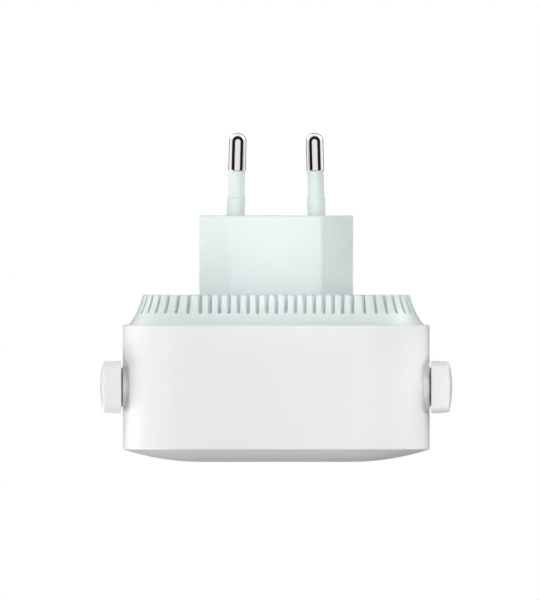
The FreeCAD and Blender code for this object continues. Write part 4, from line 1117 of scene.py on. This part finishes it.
def antenna_outline():
    """Over the face from its corner centre, round its edge, down the side and back through the hollow."""
    edge = ANT_CORNER - ANT_DRAFT
    hollow = ANT_CORNER - ANT_WALL
    ledge = hollow - 0.6 * MM
    face = [(edge * k / 5, ANT_EDGE) for k in range(4)]
    rest = [(edge, ANT_EDGE, 0.35 * MM), (ANT_CORNER, ANT_IN, 0.25 * MM), (hollow, ANT_IN)]
    rest += [(hollow, ANT_IN + ANT_LID), (ledge, ANT_IN + ANT_LID), (ledge, ANT_EDGE - ANT_ROOF)]
    return rounded([*face, *rest, (0, ANT_EDGE - ANT_ROOF)])


ANT_RUNS = (ANT_HALF.x - ANT_CORNER, ANT_HALF.y - ANT_CORNER)
ANT_STEPS = (14, 48)
crown = {
    "Crown": ANT_CROWN,
    "Crown Above": ANT_EDGE - 0.02 * MM,
    "Crown Half X": ANT_HALF.x - ANT_DRAFT,
    "Crown Half Y": ANT_HALF.y - ANT_DRAFT,
}
lid_edge = ANT_CORNER - ANT_WALL - SNUG
lid_outline = [(0, ANT_IN + ANT_LID), (lid_edge, ANT_IN + ANT_LID), (lid_edge, ANT_IN, 0.12 * MM), (0, ANT_IN)]
for word, side in (("left", -1), ("right", 1)):
    body = f"{word}_antenna"
    outwards = (math.radians(90), 0, side * math.radians(90))
    paddle = carried(
        f"antenna_{word}", antenna_outline(), ANT_RUNS, case_white, outwards, ANT_MIDDLE, 12, ANT_STEPS, crown
    )
    finish(paddle, case_white, body, f"antenna_case_{word}")
    lid = carried(f"antenna_lid_{word}", rounded(lid_outline, 3), ANT_RUNS, case_white, outwards, ANT_MIDDLE, 8)
    carve(lid, rod("lid hole", side * (ANT_IN - MM), side * (ANT_IN + 2 * MM), LID_HOLE_R, (1, 0, 0), HINGE_AT))
    finish(lid, case_white, body, f"antenna_cover_{word}")

# %% [markdown]
# ## Antenna cables
#
# A thin cable leaves each hinge along its axis and bends up to the antenna's board. The cable inside the case
# meets it in the hinge, where the real one twists. Here the two ends stand a hair apart, so that they never
# rub.

# %% Antenna cables
CABLE_R = 0.6 * MM
CABLE_BEND = 2.4 * MM
CABLE_GAP = 0.05 * MM
CABLE_SIDES, BEND_STEPS = 16, 8


def bent_rod(name, path):
    """A round rod along points in X and Z, at the hinge's depth."""
    spots = [Vector((x, HINGE.y, z)) for x, z in path]
    steps = [(b - a).normalized() for a, b in zip(spots, spots[1:])]
    level = Vector((0, CABLE_R, 0))
    turns = [2 * math.pi * k / CABLE_SIDES for k in range(CABLE_SIDES)]
    rings = []
    for spot, before, after in zip(spots, [steps[0], *steps], [*steps, steps[-1]]):
        upright = (before + after).normalized().cross(level)
        rings.append([spot + level * math.cos(a) + upright * math.sin(a) for a in turns])
    return lofted(name, rings)


cable_low, cable_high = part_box("antenna_coax_right")
upright_x = cable_high.x - CABLE_R
bend = [math.pi / 2 * k / BEND_STEPS for k in range(BEND_STEPS + 1)]
path = [(cable_low.x + CABLE_GAP, HINGE.z)]
path += [(upright_x - CABLE_BEND * (1 - math.sin(a)), HINGE.z + CABLE_BEND * (1 - math.cos(a))) for a in bend]
path.append((upright_x, cable_high.z))
for word, side in (("left", -1), ("right", 1)):
    cable = bent_rod(f"antenna_cable_{word}", [(side * x, z) for x, z in path])
    finish(cable, FINISHES["coax_black"], f"{word}_antenna", f"antenna_coax_{word}", sharp=50)

# %% [markdown]
# ## Pairing key
#
# The key in the upper wall is a small pill with a softened top. Under it a lip keeps it from falling out, and
# a stem reaches down to the switch.

# %% Pairing key
KEY_LIP = 0.8 * MM
STEM_R = 1.3 * MM
lip_top = CASE_HALF - CASE_WALL - SNUG
key_out = KEY_D / 2
key_outline = [(0, key_high.z), (key_out, key_high.z, 0.3 * MM), (key_out, lip_top)]
key_outline += [(key_out + KEY_LIP, lip_top), (key_out + KEY_LIP, lip_top - MM), (0, lip_top - MM)]
key = carried("pairing_key", rounded(key_outline), KEY_RUNS, case_white, place=KEY_AT, steps=16)
join(key, rod("stem", key_low.z, lip_top - 0.5 * MM, STEM_R, (0, 0, 1), KEY_AT, 32))
finish(key, case_white, "pairing_key", "pairing_button")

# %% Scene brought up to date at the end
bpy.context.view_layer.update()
